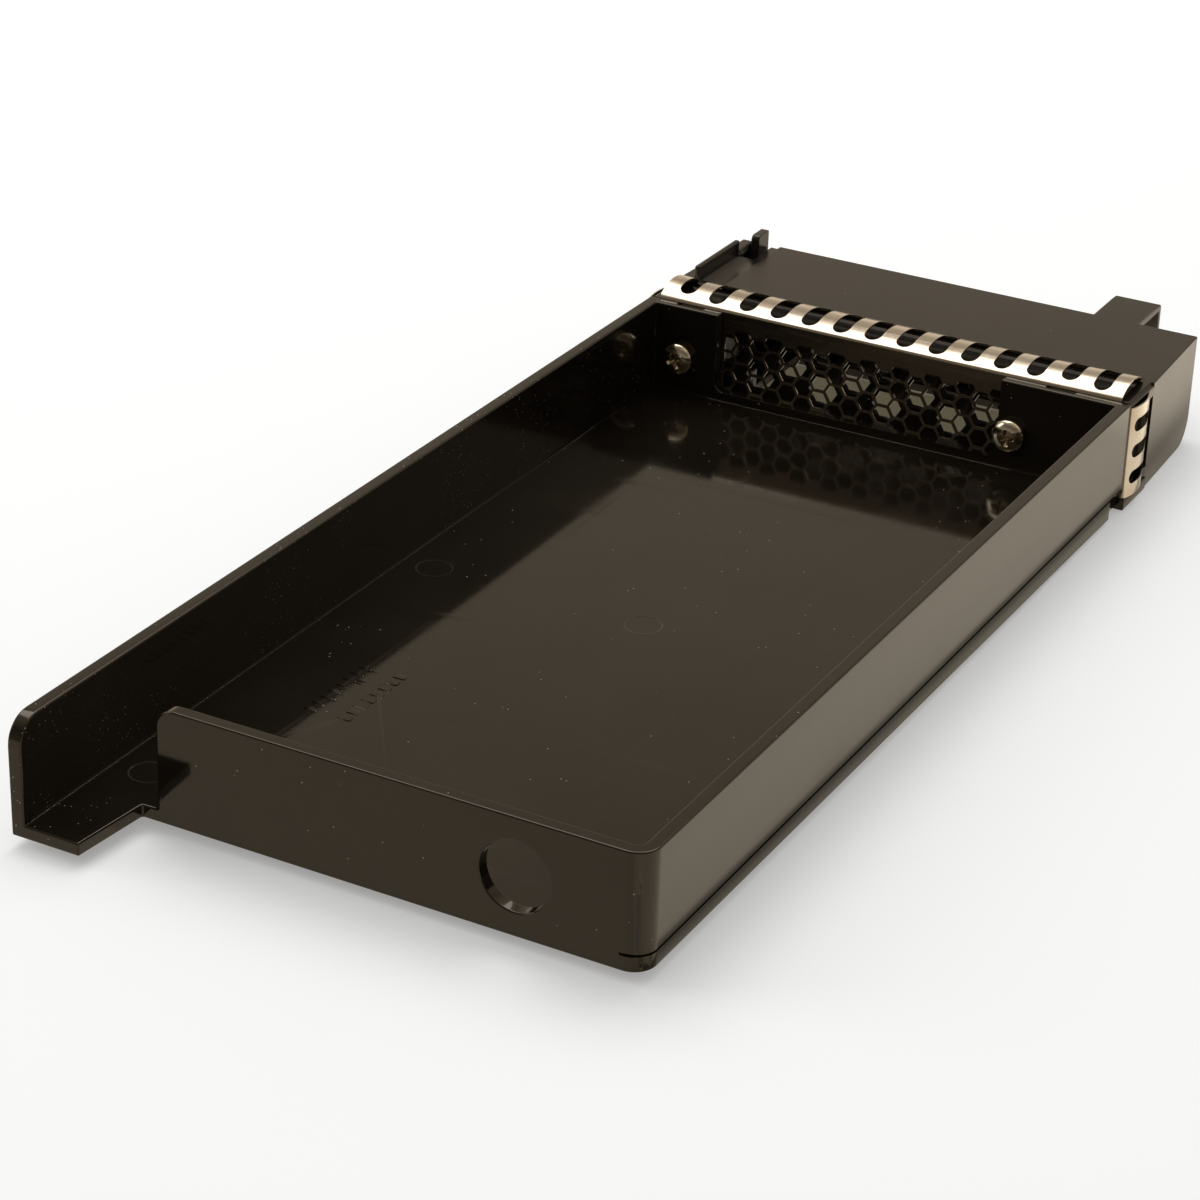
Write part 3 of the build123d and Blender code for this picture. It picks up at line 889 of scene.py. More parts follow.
@dataclass(frozen=True)
class EdgeRounding:
    """How a moulding's edges are broken. Sizes are in millimetres and degrees.

    An edge takes width, a long inner corner takes long_width, and either takes less where its
    faces are narrow. Edges that fold over when rounded are left as they are.
    """

    width: float = 0.35
    long_width: float = 0.0
    long_edge: float = 60.0
    segments: int = 3
    crease: float = 32.0
    thin_share: float = 0.30
    smallest: float = 0.08
    inner: bool = True
    merge: float = 0.002
    flat_angle: float = 0.4
    face_strength: int = 80
    sliver: float = 0.0001
    fold_cosine: float = -0.3
    stray_share: float = 0.5
    fault_cell: float = 0.5
    fault_reach: float = 2.0
    skin: float = 0.01
    samples: Triple = (0.1, 0.5, 0.9)
    tries: int = 6

    @property
    def widest(self) -> float:
        """The full width, which an edge's weight is a share of."""
        return max(self.width, self.long_width)

    def on_copy(self, node: str, name: str) -> bpy.types.Object:
        """Makes a copy of a CAD node with its edges rounded.

        Where the rounding folds over itself, it is left out and the rest made again.

        Args:
            node: The CAD node.
            name: The new object's name.

        Returns:
            The rounded copy.
        """
        work = bmesh.new()
        work.from_mesh(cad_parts[node].data)
        bmesh.ops.remove_doubles(work, verts=work.verts, dist=self.merge * MM)
        bmesh.ops.dissolve_limit(work, angle_limit=math.radians(self.flat_angle),
                                 verts=work.verts, edges=work.edges)
        layer = work.edges.layers.float.new("bevel_weight_edge")
        surface = BVHTree.FromBMesh(work)
        for edge in work.edges:
            edge[layer] = self.weight(edge, surface)
        for attempt in range(self.tries):
            piece = self.rounded(work, name)
            faults = self.faults(piece.data, surface)
            LOG.info("%s: rounding %d leaves %d folds", name, attempt + 1, len(faults))
            if not faults or attempt == self.tries - 1:
                break
            self.leave_out(work, layer, faults)
            Workshop.discard([piece])
        work.free()
        return piece

    def rounded(self, work: bmesh.types.BMesh, name: str) -> bpy.types.Object:
        """Rounds the weighted edges of a copy.

        Args:
            work: The merged geometry with its weights.
            name: The new object's name.

        Returns:
            The rounded object.
        """
        mesh = bpy.data.meshes.new(name)
        work.to_mesh(mesh)
        piece = Workshop.object_from(mesh, name)
        bevel = piece.modifiers.new("broken_edges", "BEVEL")
        bevel.limit_method = "WEIGHT"
        bevel.width = self.widest * MM
        bevel.segments = self.segments
        bevel.use_clamp_overlap = False
        bevel.miter_outer = "MITER_ARC"
        mesh.shade_smooth()
        mesh.set_sharp_from_angle(angle=math.radians(self.crease))
        weights = mesh.attributes["bevel_weight_edge"].data
        for edge in mesh.edges:
            if edge.use_edge_sharp and weights[edge.index].value > 0:
                edge.use_edge_sharp = False
        Workshop.drop_slivers(Workshop.settle(piece).data)
        weighted = piece.modifiers.new("even_shading", "WEIGHTED_NORMAL")
        weighted.keep_sharp = True
        weighted.weight = self.face_strength
        return Workshop.settle(piece)

    def faults(self, mesh: bpy.types.Mesh, surface: BVHTree) -> list[Vector]:
        """Finds where a rounded mesh leaves the surface that it came from or folds over.

        Args:
            mesh: The rounded mesh.
            surface: The surface before the rounding.

        Returns:
            One point in each small region that is wrong.
        """
        mesh.calc_loop_triangles()
        found = {}
        for triangle in mesh.loop_triangles:
            if triangle.area < self.sliver * MM ** 2:
                continue
            corners = [mesh.vertices[i].co for i in triangle.vertices]
            middle = sum(corners, Vector()) / 3
            _, normal, _, away = surface.find_nearest(middle)
            level = normal.dot(triangle.normal) > self.fold_cosine
            if level and away < self.stray_share * self.widest * MM:
                continue
            for corner in corners + [middle]:
                cell = tuple(round(c / (self.fault_cell * MM)) for c in corner)
                found[cell] = corner.copy()
        return list(found.values())

    def leave_out(self, work: bmesh.types.BMesh, layer: bmesh.types.BMLayerItem,
                  faults: Sequence[Vector]) -> None:
        """Leaves out the rounding around some points.

        Args:
            work: The merged geometry.
            layer: The layer of its weights.
            faults: The points.
        """
        reach = self.fault_reach * self.width * MM
        for edge in work.edges:
            if edge[layer] <= 0:
                continue
            start, end = (vert.co for vert in edge.verts)
            for point in faults:
                near, part = intersect_point_line(point, start, end)
                near = start if part < 0 else end if part > 1 else near
                if (point - near).length < reach:
                    edge[layer] = 0.0
                    break

    def weight(self, edge: bmesh.types.BMEdge, surface: BVHTree) -> float:
        """The share of the full width that one edge takes.

        Args:
            edge: The edge.
            surface: The surface that it is part of.

        Returns:
            0 for an edge that stays as it is, up to 1.
        """
        if len(edge.link_faces) != 2 or not (self.inner or edge.is_convex):
            return 0.0
        if edge.calc_face_angle(0.0) < math.radians(self.crease):
            return 0.0
        long_corner = not edge.is_convex and edge.calc_length() > self.long_edge * MM
        fitting = self.thin_share * min(self.room(loop, surface) for loop in edge.link_loops)
        fitting = min(fitting, self.widest if long_corner else self.width)
        return fitting / self.widest if fitting > self.smallest else 0.0

    def room(self, loop: bmesh.types.BMLoop, surface: BVHTree) -> float:
        """How far one face goes on beside an edge, in millimetres.

        Args:
            loop: The edge's loop on that face.
            surface: The surface that it is part of.

        Returns:
            The way to the nearest bend or wall, at most what the full width needs.
        """
        start, end = loop.vert.co, loop.link_loop_next.vert.co
        normal = loop.face.normal
        inwards = normal.cross(end - start).normalized()
        most = self.widest / self.thin_share * MM
        skin = self.skin * MM
        found = most
        for share in self.samples:
            for level in (-skin, skin):
                origin = start.lerp(end, share) + inwards * skin + normal * level
                way = surface.ray_cast(origin, inwards, most)[3]
                found = found if way is None else min(found, way)
        return found / MM


@dataclass
class Tray:
    """The glossy tray: one moulding with its tab, end wall and front flange."""

    node: str = "tray"
    rounding: EdgeRounding = EdgeRounding(width=0.35, long_width=0.8)
    finish: Finish = PolishedMoulding()

    def build(self) -> bpy.types.Object:
        """Builds and dresses the tray."""
        piece = self.rounding.on_copy(self.node, "tray_moulding")
        return Workshop.hand_over(piece, Body.HOUSING, Slot.TRAY, self.finish, [self.node])


@dataclass
class Bezel:
    """The matt front bezel: one moulding with its hood, vents, posts and bosses."""

    node: str = "bezel"
    rounding: EdgeRounding = EdgeRounding(width=0.3, inner=False)
    finish: Finish = MattMoulding()

    def build(self) -> bpy.types.Object:
        """Builds and dresses the bezel."""
        piece = self.rounding.on_copy(self.node, "bezel_moulding")
        return Workshop.hand_over(piece, Body.HOUSING, Slot.BEZEL, self.finish, [self.node])


@dataclass
class Shield:
    """The grounding shield, folded from one punched sheet. Sizes are in millimetres."""

    node: str = "grounding_shield"
    finish: Finish = BrightSheet()
    sheet: float = 0.3
    web_y: float = 200.9
    top: float = 21.4
    low: float = -0.4
    half_width: float = 50.8
    out: float = 53.4
    side_low: float = 0.9
    side_high: float = 20.1
    depth: float = 12.4
    side_gap: float = 1.1
    side_tuck: float = 0.8
    end_rise: float = 2.2
    middle_rise: float = 1.3
    side_rise: float = 1.2
    bend: float = 0.55
    overlap: float = 0.6
    stations: int = 57
    arch_steps: int = 26
    bend_steps: int = 6
    slot_start: float = 0.9
    slot_width: float = 3.7
    slot_length: float = 10.8
    slot_pitch: float = 7.05
    slots: int = 14
    short_slots: tuple[int, int] = (0, 12)
    short_start: float = 1.7
    side_slot_width: float = 2.8
    side_slot_length: float = 7.6
    side_slot_pitch: float = 5.6
    side_slots: int = 3
    slot_end_steps: int = 12
    hex_flats: float = 3.5
    hex_pitch: float = 4.1
    window_middle: Flat = (-4.75, 10.55)
    window_size: Flat = (61.1, 14.1)
    window_cut: float = 3.0
    hole_radius: float = 1.95
    hole_sides: int = 24
    web_punch: float = 1.0
    crease: float = 28.0

    def arch(self, rise: float, depth: float, tuck: float = 0.0) -> list[Vector]:
        """The outer line of one sprung strip, from the bend to its front edge.

        Args:
            rise: How far its crest stands out.
            depth: How far it reaches forward.
            tuck: How far its front edge is drawn in.

        Returns:
            Points of (depth, height) in millimetres.
        """
        half = depth / 2
        radius = (half ** 2 + rise ** 2) / (2 * rise)
        sweep = math.asin(min(1.0, half / radius))
        start = self.bend / radius
        points = []
        for step in range(self.arch_steps + 1):
            angle = -sweep + start + (2 * sweep - start) * step / self.arch_steps
            ahead = half + radius * math.sin(angle)
            height = rise - radius + radius * math.cos(angle)
            points.append(Vector((ahead, height - tuck * ahead / depth)))
        corner = Vector((0, 0))
        foot = Vector((0, -self.bend))
        bend = []
        for step in range(self.bend_steps):
            t = step / self.bend_steps
            bend.append((1 - t) ** 2 * foot + 2 * t * (1 - t) * corner + t ** 2 * points[0])
        return bend + points

    def rise_at(self, x: float) -> float:
        """The top strip's rise at an X in millimetres: it sags towards its middle."""
        share = (x / self.half_width) ** 2
        return self.middle_rise + (self.end_rise - self.middle_rise) * share

    def sheet_between(self, name: str, lines: list[list[Vector]],
                      to_point: Callable[[int, Vector], Vector]) -> bpy.types.Object:
        """Makes a closed sheet that follows a line at each station.

        Args:
            name: The sheet's name.
            lines: The outer line at each station, all with as many points.
            to_point: Turns a station and a flat point into a point in the row frame.

        Returns:
            The sheet, not yet punched.
        """
        work = bmesh.new()
        rings = []
        for index, line in enumerate(lines):
            inner = []
            for i, point in enumerate(line):
                before = line[max(i - 1, 0)]
                after = line[min(i + 1, len(line) - 1)]
                way = (after - before).normalized()
                inner.append(point - Vector((-way.y, way.x)) * self.sheet)
            loop = line + inner[::-1]
            rings.append([work.verts.new(to_point(index, point)) for point in loop])
        count = len(rings[0])
        for first, second in zip(rings, rings[1:]):
            for i in range(count):
                j = (i + 1) % count
                work.faces.new((first[i], first[j], second[j], second[i]))
        for ring in (rings[0], rings[-1]):
            for i in range(count // 2 - 1):
                j = count - 1 - i
                work.faces.new((ring[i], ring[i + 1], ring[j - 1], ring[j]))
        return Workshop.from_bmesh(work, name)

    def main_fold(self) -> bpy.types.Object:
        """The web with the top and bottom strips.

        Returns:
            The folded sheet, not yet punched.
        """
        places = []
        lines = []
        for step in range(self.stations):
            x = self.half_width * (2 * step / (self.stations - 1) - 1)
            upper = self.arch(self.rise_at(x), self.depth)
            upper = [Vector((p.x, p.y + self.top)) for p in upper]
            under = self.arch(self.side_rise, self.depth)
            under = [Vector((p.x, self.low - p.y)) for p in under]
            places.append(x)
            lines.append(under[::-1] + upper)

        def to_point(index: int, point: Vector) -> Vector:
            """Stands a point of the fold's line at its station."""
            return place(places[index], self.web_y + point.x, point.y)

        return self.sheet_between("shield_sheet", lines, to_point)

    def side_fold(self, side: Side) -> bpy.types.Object:
        """One side strip with the part of the web that it hangs on.

        Args:
            side: Which side it is on.

        Returns:
            The folded strip, not yet punched.
        """
        root = Vector((0, self.half_width - self.overlap - self.out))
        depth = self.depth - self.side_gap
        line = [root] + self.arch(self.side_rise, depth, self.side_tuck)
        heights = [self.side_low, self.side_high]

        def to_point(index: int, point: Vector) -> Vector:
            """Stands a point of the strip's line at its height."""
            return place(side.value * (self.out + point.y), self.web_y + point.x, heights[index])

        return self.sheet_between(f"{side.name.lower()}_strip", [line, line], to_point)

    def slot_punch(self, name: str, width: float, start: float, end: float,
                   middle: float, reach: float) -> bpy.types.Object:
        """The punch of a slot with round ends, along Y.

        Args:
            name: The punch's name.
            width: The slot's width.
            start: Where it starts.
            end: Where it ends.
            middle: The level that Y is measured from.
            reach: How far the punch reaches each way.

        Returns:
            The punch.
        """
        radius = width / 2
        outline = []
        for level, turn in ((end - radius, 0.0), (start + radius, math.pi)):
            for step in range(self.slot_end_steps + 1):
                angle = turn + math.pi * step / self.slot_end_steps
                ahead = level - middle + radius * math.sin(angle)
                outline.append((radius * math.cos(angle), ahead))
        return Workshop.prism(name, outline, reach)

    def punch(self, tree: Punching, piece: bpy.types.Object, tool: bpy.types.Object,
              **values: object) -> None:
        """Adds one punching to a piece.

        Args:
            tree: The punching tree.
            piece: The sheet.
            tool: The punch.
            values: Inputs that differ from one straight row.
        """
        inputs = {
            "Punch": tool, "Short Punch": tool, "Short First": -1, "Short Second": -1,
            "Columns": 1, "Rows": 1, "Column Pitch": 1.0, "Row Pitch": 1.0, "Stagger": False,
            "Turn": (0.0, 0.0, 0.0), "Middle": (0.0, 0.0, 0.0), "Border": (1.0, 1.0, 1.0),
            "Finish": self.finish.material(),
        }
        inputs.update({name.replace("_", " "): value for name, value in values.items()})
        tree.put_on(piece, inputs)

    def punch_strips(self, tree: Punching, piece: bpy.types.Object) -> list[bpy.types.Object]:
        """Punches the slots of the four strips.

        Args:
            tree: The punching tree.
            piece: The folded sheet.

        Returns:
            The punches, which the sheet still needs.
        """
        end = self.slot_start + self.slot_length
        middle = self.slot_start + self.slot_length / 2
        reach = 2 * self.end_rise
        common = self.slot_punch("long_slot", self.slot_width, self.slot_start, end, middle,
                                 reach)
        odd = self.slot_punch("short_slot", self.slot_width, self.short_start, end, middle,
                              reach)
        for level, short in ((self.top, self.short_slots), (self.low, (-1, -1))):
            self.punch(tree, piece, common, Short_Punch=odd, Short_First=short[0],
                       Short_Second=short[1], Columns=self.slots,
                       Column_Pitch=self.slot_pitch * MM,
                       Middle=place(0, self.web_y + middle, level))
        end = self.slot_start + self.side_slot_length
        middle = self.slot_start + self.side_slot_length / 2
        beside = self.slot_punch("side_slot", self.side_slot_width, self.slot_start, end,
                                 middle, 2 * self.side_rise)
        height = (self.side_low + self.side_high) / 2
        for side in Side:
            self.punch(tree, piece, beside, Columns=self.side_slots,
                       Turn=(0.0, math.pi / 2, 0.0), Column_Pitch=self.side_slot_pitch * MM,
                       Middle=place(side.value * self.out, self.web_y + middle, height))
        return [common, odd, beside]

    def punch_web(self, tree: Punching, piece: bpy.types.Object) -> list[bpy.types.Object]:
        """Punches the honeycomb and the screw holes of the web.

        Args:
            tree: The punching tree.
            piece: The folded sheet.

        Returns:
            The punches, which the sheet still needs.
        """
        cell = Workshop.prism("cell", Workshop.polygon(self.hex_flats / math.sqrt(3), 6),
                              self.web_punch)
        hole = Workshop.prism("screw_hole", Workshop.polygon(self.hole_radius, self.hole_sides),
                              self.web_punch)
        step = self.hex_pitch * math.sqrt(3) / 2
        width, height = self.window_size
        facing = (math.pi / 2, 0.0, 0.0)
        self.punch(tree, piece, cell, Columns=int(width / step) + 1,
                   Rows=int(height / self.hex_pitch) + 1, Column_Pitch=step * MM,
                   Row_Pitch=self.hex_pitch * MM, Stagger=True, Turn=facing,
                   Middle=place(self.window_middle[0], self.web_y, self.window_middle[1]),
                   Border=(width * MM, self.window_cut * MM, height * MM))
        self.punch(tree, piece, hole, Columns=2, Turn=facing,
                   Column_Pitch=(SCREW_X[1] - SCREW_X[0]) * MM,
                   Middle=place(sum(SCREW_X) / 2, self.web_y, SCREW_Z))
        return [cell, hole]

    def build(self) -> bpy.types.Object:
        """Builds, punches and dresses the shield.

        Returns:
            The shield.
        """
        piece = self.main_fold()
        sides = [self.side_fold(side) for side in Side]
        for strip in sides:
            joint = piece.modifiers.new("joined_side", "BOOLEAN")
            joint.operation = "UNION"
            joint.solver = "EXACT"
            joint.object = strip
        tree = Punching()
        tools = self.punch_strips(tree, piece) + self.punch_web(tree, piece)
        Workshop.settle(piece)
        Workshop.discard(sides + tools)
        Workshop.smooth(piece, self.crease)
        return Workshop.hand_over(piece, Body.HOUSING, Slot.SHIELD, self.finish, [self.node])


@dataclass
class PanHeadScrew:
    """One pan-head screw with a cross recess. Sizes are in millimetres."""

    node: str
    x: float
    turn: float
    finish: Finish = PlatedScrew()
    y: float = 198.5
    head_radius: float = 3.5
    head_height: float = 2.6
    crown_steps: int = 10
    crown_fullness: Flat = (0.82, 0.9)
    rim: float = 0.75
    rim_break: float = 0.12
    shank_radius: float = 1.7
    length: float = 11.0
    tip: float = 0.7
    recess_span: float = 1.95
    recess_width: float = 0.42
    recess_depth: float = 1.7
    recess_above: float = 0.5
    mouth_shares: Flat = (1.12, 1.15)
    root_shares: Flat = (0.45, 0.7)
    edge_break: float = 0.07
    edge_angle: float = 50.0
    crease: float = 40.0
    sides: int = 48

    def profile(self) -> list[Flat]:
        """The screw's outline, from the middle of its head to its point.

        Returns:
            Points of (radius, height) in millimetres.
        """
        points = []
        crown = self.head_height - self.rim
        wide, high = self.crown_fullness
        for step in range(self.crown_steps + 1):
            angle = math.radians(90 * step / self.crown_steps)
            points.append((self.head_radius * math.sin(angle) ** wide,
                           self.rim + crown * math.cos(angle) ** high))
        return points + [
            (self.head_radius, self.rim_break),
            (self.head_radius - self.rim_break, 0.0),
            (self.shank_radius, 0.0),
            (self.shank_radius, -self.length + self.tip),
            (self.shank_radius - self.tip, -self.length),
        ]

    def turned(self) -> bpy.types.Object:
        """The turned body of the screw, along Z with its head up.

        Returns:
            The screw without its recess.
        """
        work = bmesh.new()
        (_, top), *rest = self.profile()
        crown = work.verts.new((0, 0, top * MM))
        rings = []
        for radius, height in rest:
            corners = Workshop.polygon(radius, self.sides)
            rings.append([work.verts.new(Vector((x, y, height)) * MM) for x, y in corners])
        for i in range(self.sides):
            j = (i + 1) % self.sides
            work.faces.new((crown, rings[0][i], rings[0][j]))
            for first, second in zip(rings, rings[1:]):
                work.faces.new((first[i], second[i], second[j], first[j]))
        work.faces.new(rings[-1])
        return Workshop.from_bmesh(work, self.node + "_plated")

    def recess(self) -> bpy.types.Object:
        """The tapered cross that cuts the driver's recess.

        Returns:
            The cutting tool.
        """
        work = bmesh.new()
        levels = ((self.head_height + self.recess_above, self.mouth_shares),
                  (self.head_height - self.recess_depth, self.root_shares))
        for crossed in (False, True):
            rings = []
            for z, (span_share, width_share) in levels:
                span = self.recess_span * span_share
                width = self.recess_width * width_share
                corners = [(-span, -width), (span, -width), (span, width), (-span, width)]
                rings.append([(-y, x, z) if crossed else (x, y, z) for x, y in corners])
            Workshop.add_prism(work, *rings)
        return Workshop.from_bmesh(work, "driver_cross")

    def build(self) -> bpy.types.Object:
        """Builds and dresses the screw.

        Returns:
            The screw.
        """
        piece = self.turned()
        cross = self.recess()
        cut = piece.modifiers.new("driver_recess", "BOOLEAN")
        cut.operation = "DIFFERENCE"
        cut.solver = "EXACT"
        cut.use_self = True
        cut.object = cross
        bevel = piece.modifiers.new("broken_edges", "BEVEL")
        bevel.limit_method = "ANGLE"
        bevel.angle_limit = math.radians(self.edge_angle)
        bevel.width = self.edge_break * MM
        bevel.segments = 2
        Workshop.settle(piece)
        Workshop.discard([cross])
        turn = Matrix.Rotation(math.radians(self.turn), 4, "Z")
        lie = Matrix.Rotation(math.radians(90), 4, "X")
        piece.data.transform(Matrix.Translation(place(self.x, self.y, SCREW_Z)) @ lie @ turn)
        Workshop.smooth(piece, self.crease)
        return Workshop.hand_over(piece, Body.HOUSING, Slot.SCREWS, self.finish, [self.node])


@dataclass
class Catch:
    """The sprung catch with its pin and its spring. Sizes are in millimetres."""

    rounding: EdgeRounding = EdgeRounding(width=0.22)
    pin_rounding: EdgeRounding = EdgeRounding(width=0.15, segments=2, crease=50)
    finish: Finish = MattMoulding()
    steel: Finish = DrawnSteel()
    joint: str = "catch_press"
    spring_x: float = -47.0
    spring_y: float = 231.8
    spring_foot: float = 0.0
    spring_height: float = 11.1
    spring_radius: float = 1.675
    spring_tip: float = 0.95
    wire: float = 0.45
    turns: float = 7.0
    crease: float = 40.0
    pressed_share: float = 0.80

    def lever(self) -> bpy.types.Object:
        """The moulded lever with its claw and its thumb piece."""
        piece = self.rounding.on_copy("catch", "catch_lever")
        return Workshop.hand_over(piece, Body.CATCH, Slot.CATCH, self.finish, ["catch"])

    def pin(self) -> bpy.types.Object:
        """The steel pin that the lever turns on."""
        piece = self.pin_rounding.on_copy("catch_pin", "catch_axle")
        return Workshop.hand_over(piece, Body.HOUSING, Slot.PIN, self.steel, ["catch_pin"])

    def spring(self) -> bpy.types.Object:
        """The coil spring under the lever.

        Returns:
            The spring.
        """
        piece = Workshop.object_from(bpy.data.meshes.new("catch_coil"), "catch_coil")
        foot = place(self.spring_x, self.spring_y, self.spring_foot)
        Coiling().put_on(piece, {
            "Turns": self.turns, "Radius": self.spring_radius * MM, "Tip": self.spring_tip * MM,
            "Height": self.spring_height * MM, "Wire": self.wire * MM, "Foot": foot,
            "Finish": self.steel.material(),
        })
        Workshop.settle(piece)
        Workshop.smooth(piece, self.crease)
        Workshop.hand_over(piece, Body.HOUSING, Slot.SPRING, self.steel, ["catch_spring"])
        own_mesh(piece)
        return piece

    def build(self) -> list[bpy.types.Object]:
        """Builds the lever, the pin and the spring."""
        return [self.lever(), self.pin(), self.spring()]


@dataclass(frozen=True)
class SoftBox:
    """One soft lamp. Its places and size are in metres, its power in watts."""

    name: str
    at: Triple
    aim: Triple
    size: Flat
    power: float

    def hang(self) -> None:
        """Hangs the lamp."""
        data = bpy.data.lights.new(self.name, "AREA")
        data.shape = "RECTANGLE"
        data.size, data.size_y = self.size
        data.energy = self.power
        lamp = bpy.data.objects.new(self.name, data)
        bpy.context.scene.collection.objects.link(lamp)
        lamp.location = self.at
        way = Vector(self.aim) - Vector(self.at)
        lamp.rotation_euler = way.to_track_quat("-Z", "Y").to_euler()


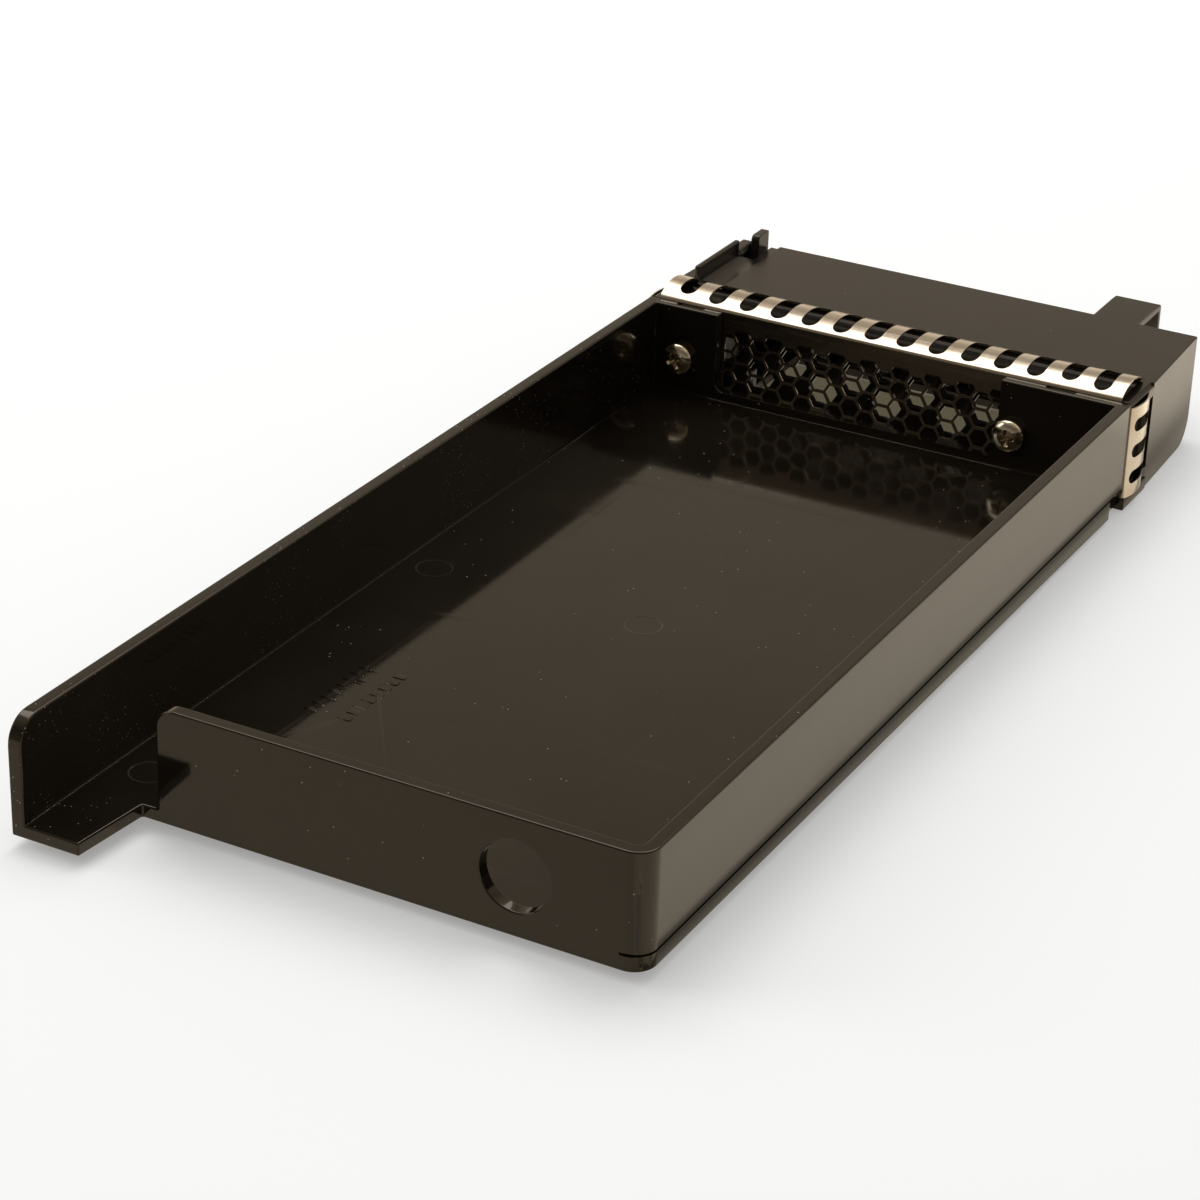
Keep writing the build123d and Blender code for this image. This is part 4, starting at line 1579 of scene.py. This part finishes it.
@dataclass
class Studio:
    """A pale floor, soft lamps and a camera at the photograph's viewing angle.

    The floor and the world each have two looks: a plain one for what is seen straight on and
    for the light that they give, and one for what the glossy plastic mirrors. On the floor that
    second look is a painted reflection, with painted shade beside the part. Places are in
    metres, and angles in degrees.
    """

    eye: Triple = (0.24284, -0.49862, 0.27594)
    azimuth: float = 27.779
    elevation: float = 26.463
    roll: float = 1.913
    lens: float = 100.4
    sensor: float = 36.0
    clip: Flat = (0.01, 50.0)
    floor_half: float = 5.0
    floor_roughness: float = 0.9
    paper: Colour = (0.80, 0.80, 0.79, 1)
    # Painted shade: a darker, warmer floor colour and less emission lift under the bezel, seen
    # through its vents.
    painted_under_shade: Colour = (0.38, 0.33, 0.21, 1)
    under_middle: float = 0.100
    beside_bezel: Ramp = Ramp(0.044, 0.052)
    past_bezel: Ramp = Ramp(0.014, 0.020)
    lift: Ramp = Ramp(0.0, 1.0, 0.22, 0.35)
    warm: Colour = (1.0, 0.89, 0.72, 1)
    # Painted reflection: the floor's brightness for glossy rays by position, with painted
    # contact shade beside the part.
    painted_side_reflection: Ramp = Ramp(-0.11, 0.08, 0.98, 1.08)
    painted_bezel_reflection: Ramp = Ramp(0.115, 0.140, 0.0, 0.60)
    painted_foot_reflection: Ramp = Ramp(0.0546, 0.0560, 0.30, 0.0)
    painted_contact_shade: Ramp = Ramp(0.0570, 0.0580, 0.24, 0.88)
    painted_shade_fade: Ramp = Ramp(0.0580, 0.0660, 0.0, 0.12)
    painted_rear_reflection: Ramp = Ramp(-0.117, -0.124, 0.0, 0.71)
    sky_warm: Colour = (1.0, 0.85, 0.66, 1)
    white: Colour = (1.0, 1.0, 1.0, 1)
    sky_low: Ramp = Ramp(0.16, 0.34, 0.85, 0.50)
    sky_middle: Ramp = Ramp(0.44, 0.54, 0.0, -0.09)
    sky_high: Ramp = Ramp(0.56, 0.78, 0.0, 0.55)
    sky_side: Ramp = Ramp(-0.5, 0.2, 0.30, 1.0)
    ambient: float = 0.42
    lamps: tuple[SoftBox, ...] = (
        SoftBox("overhead_box", (-0.35, 0.45, 1.25), (0, 0.05, 0), (1.35, 1.0), 10.0),
        SoftBox("left_box", (-1.2, -0.5, 0.7), (0, 0, 0), (0.7, 0.7), 3.0),
    )

    def camera(self) -> None:
        """Makes the camera."""
        data = bpy.data.cameras.new("viewpoint")
        data.lens = self.lens
        data.sensor_width = self.sensor
        data.clip_start, data.clip_end = self.clip
        camera = bpy.data.objects.new("viewpoint", data)
        bpy.context.scene.collection.objects.link(camera)
        bpy.context.scene.camera = camera
        turn, tilt, roll = (math.radians(a) for a in (self.azimuth, self.elevation, self.roll))
        right = Vector((math.cos(turn), math.sin(turn), 0))
        back = Vector((math.sin(turn) * math.cos(tilt), -math.cos(turn) * math.cos(tilt),
                       math.sin(tilt)))
        up = back.cross(right)
        level = right * math.cos(roll) + up * math.sin(roll)
        upright = up * math.cos(roll) - right * math.sin(roll)
        axes = Matrix((level, upright, back)).transposed().to_4x4()
        camera.matrix_world = Matrix.Translation(self.eye) @ axes

    def painted_floor_reflection(self, board: MaterialBoard) -> bpy.types.NodeSocket:
        """Paints the floor's reflection: how bright the floor is where the plastic mirrors it.

        Args:
            board: The floor's board.

        Returns:
            The painted reflection's brightness: even beside the part, darker in a painted line
            of shade next to it.
        """
        across = board.along("X")
        forward = board.along("Y")
        beside = board.math("ADD", board.ramp(forward, self.painted_side_reflection),
                            board.ramp(forward, self.painted_bezel_reflection))
        shade = board.math("ADD", *(board.ramp(across, ramp) for ramp in (
            self.painted_foot_reflection, self.painted_contact_shade, self.painted_shade_fade)))
        return board.math("MAXIMUM", board.math("MULTIPLY", beside, shade),
                          board.ramp(forward, self.painted_rear_reflection))

    def floor(self) -> None:
        """Lays the pale floor, which keeps the object's shadow, with painted shade on the floor
        under the bezel and a painted reflection for glossy rays.
        """
        work = bmesh.new()
        half = self.floor_half
        corners = [(-half, -half, 0), (half, -half, 0), (half, half, 0), (-half, half, 0)]
        work.faces.new([work.verts.new(corner) for corner in corners])
        floor = Workshop.from_bmesh(work, "floor")
        board = MaterialBoard("pale_floor")
        board.constant(Roughness=self.floor_roughness, Specular_IOR_Level=0.0)
        path = board.add("ShaderNodeLightPath").outputs
        gloss = path["Is Glossy Ray"]
        seen = board.math("MAXIMUM", path["Is Camera Ray"], path["Is Transmission Ray"])
        # Painted shade: under the bezel the floor takes the painted shade colour and a lower
        # lift.
        aside = board.ramp(board.math("ABSOLUTE", board.along("X")), self.beside_bezel)
        past = board.ramp(board.distance(board.along("Y"), self.under_middle), self.past_bezel)
        clear = board.math("MAXIMUM", aside, past)
        lift = board.math("MULTIPLY", seen, board.ramp(clear, self.lift))
        # Painted reflection: glossy rays see the floor as a warm emission set by position, not
        # as its lit colour.
        shine = board.math("MULTIPLY", gloss, self.painted_floor_reflection(board))
        paper = board.mix(clear, self.painted_under_shade, self.paper)
        board.wire("Base Color", board.mix(gloss, paper, (0, 0, 0, 1)))
        board.wire("Emission Color", board.mix(gloss, paper, self.warm))
        board.wire("Emission Strength", board.math("MAXIMUM", lift, shine))
        floor.data.materials.append(board.material)

    def room(self) -> None:
        """Makes the world: a white backdrop, plain soft light, and a warm sky in gloss.

        The sky is brightest overhead, darker half way up, and dim on the camera's side.
        """
        world = bpy.data.worlds.new("studio")
        bpy.context.scene.world = world
        world.use_nodes = True
        world.node_tree.nodes.clear()
        board = NodeBoard(world.node_tree)
        way = board.add("ShaderNodeTexCoord").outputs["Generated"]
        way = board.add("ShaderNodeSeparateXYZ", {0: way}).outputs
        sky = board.math("ADD", *(board.ramp(way["Z"], ramp) for ramp in (
            self.sky_low, self.sky_middle, self.sky_high)))
        path = board.add("ShaderNodeLightPath").outputs
        gloss = board.math("MAXIMUM", path["Is Glossy Ray"], path["Is Transmission Ray"])
        shine = board.math("MULTIPLY", sky, board.ramp(way["Y"], self.sky_side), gloss)
        plain = board.math("MAXIMUM", path["Is Camera Ray"], self.ambient)
        plain = board.math("MULTIPLY", plain, board.math("SUBTRACT", 1.0, gloss))
        values = {0: gloss, 6: self.white, 7: self.sky_warm}
        colour = board.add("ShaderNodeMix", values, data_type="RGBA").outputs[2]
        values = {"Color": colour, "Strength": board.math("ADD", shine, plain)}
        light = board.add("ShaderNodeBackground", values).outputs[0]
        board.add("ShaderNodeOutputWorld", {"Surface": light})

    def build(self) -> None:
        """Builds the whole studio."""
        self.camera()
        self.floor()
        self.room()
        for lamp in self.lamps:
            lamp.hang()
        bpy.context.scene.view_settings.view_transform = "Standard"


def main() -> None:
    """Builds the studio and every piece of the filler, in order."""
    logging.basicConfig(level=logging.INFO, format="%(message)s")
    Studio().build()
    Tray().build()
    Bezel().build()
    Shield().build()
    PanHeadScrew("screw_left", x=SCREW_X[0], turn=24.0).build()
    PanHeadScrew("screw_right", x=SCREW_X[1], turn=8.0).build()
    Catch().build()


if __name__ == "__main__":
    main()
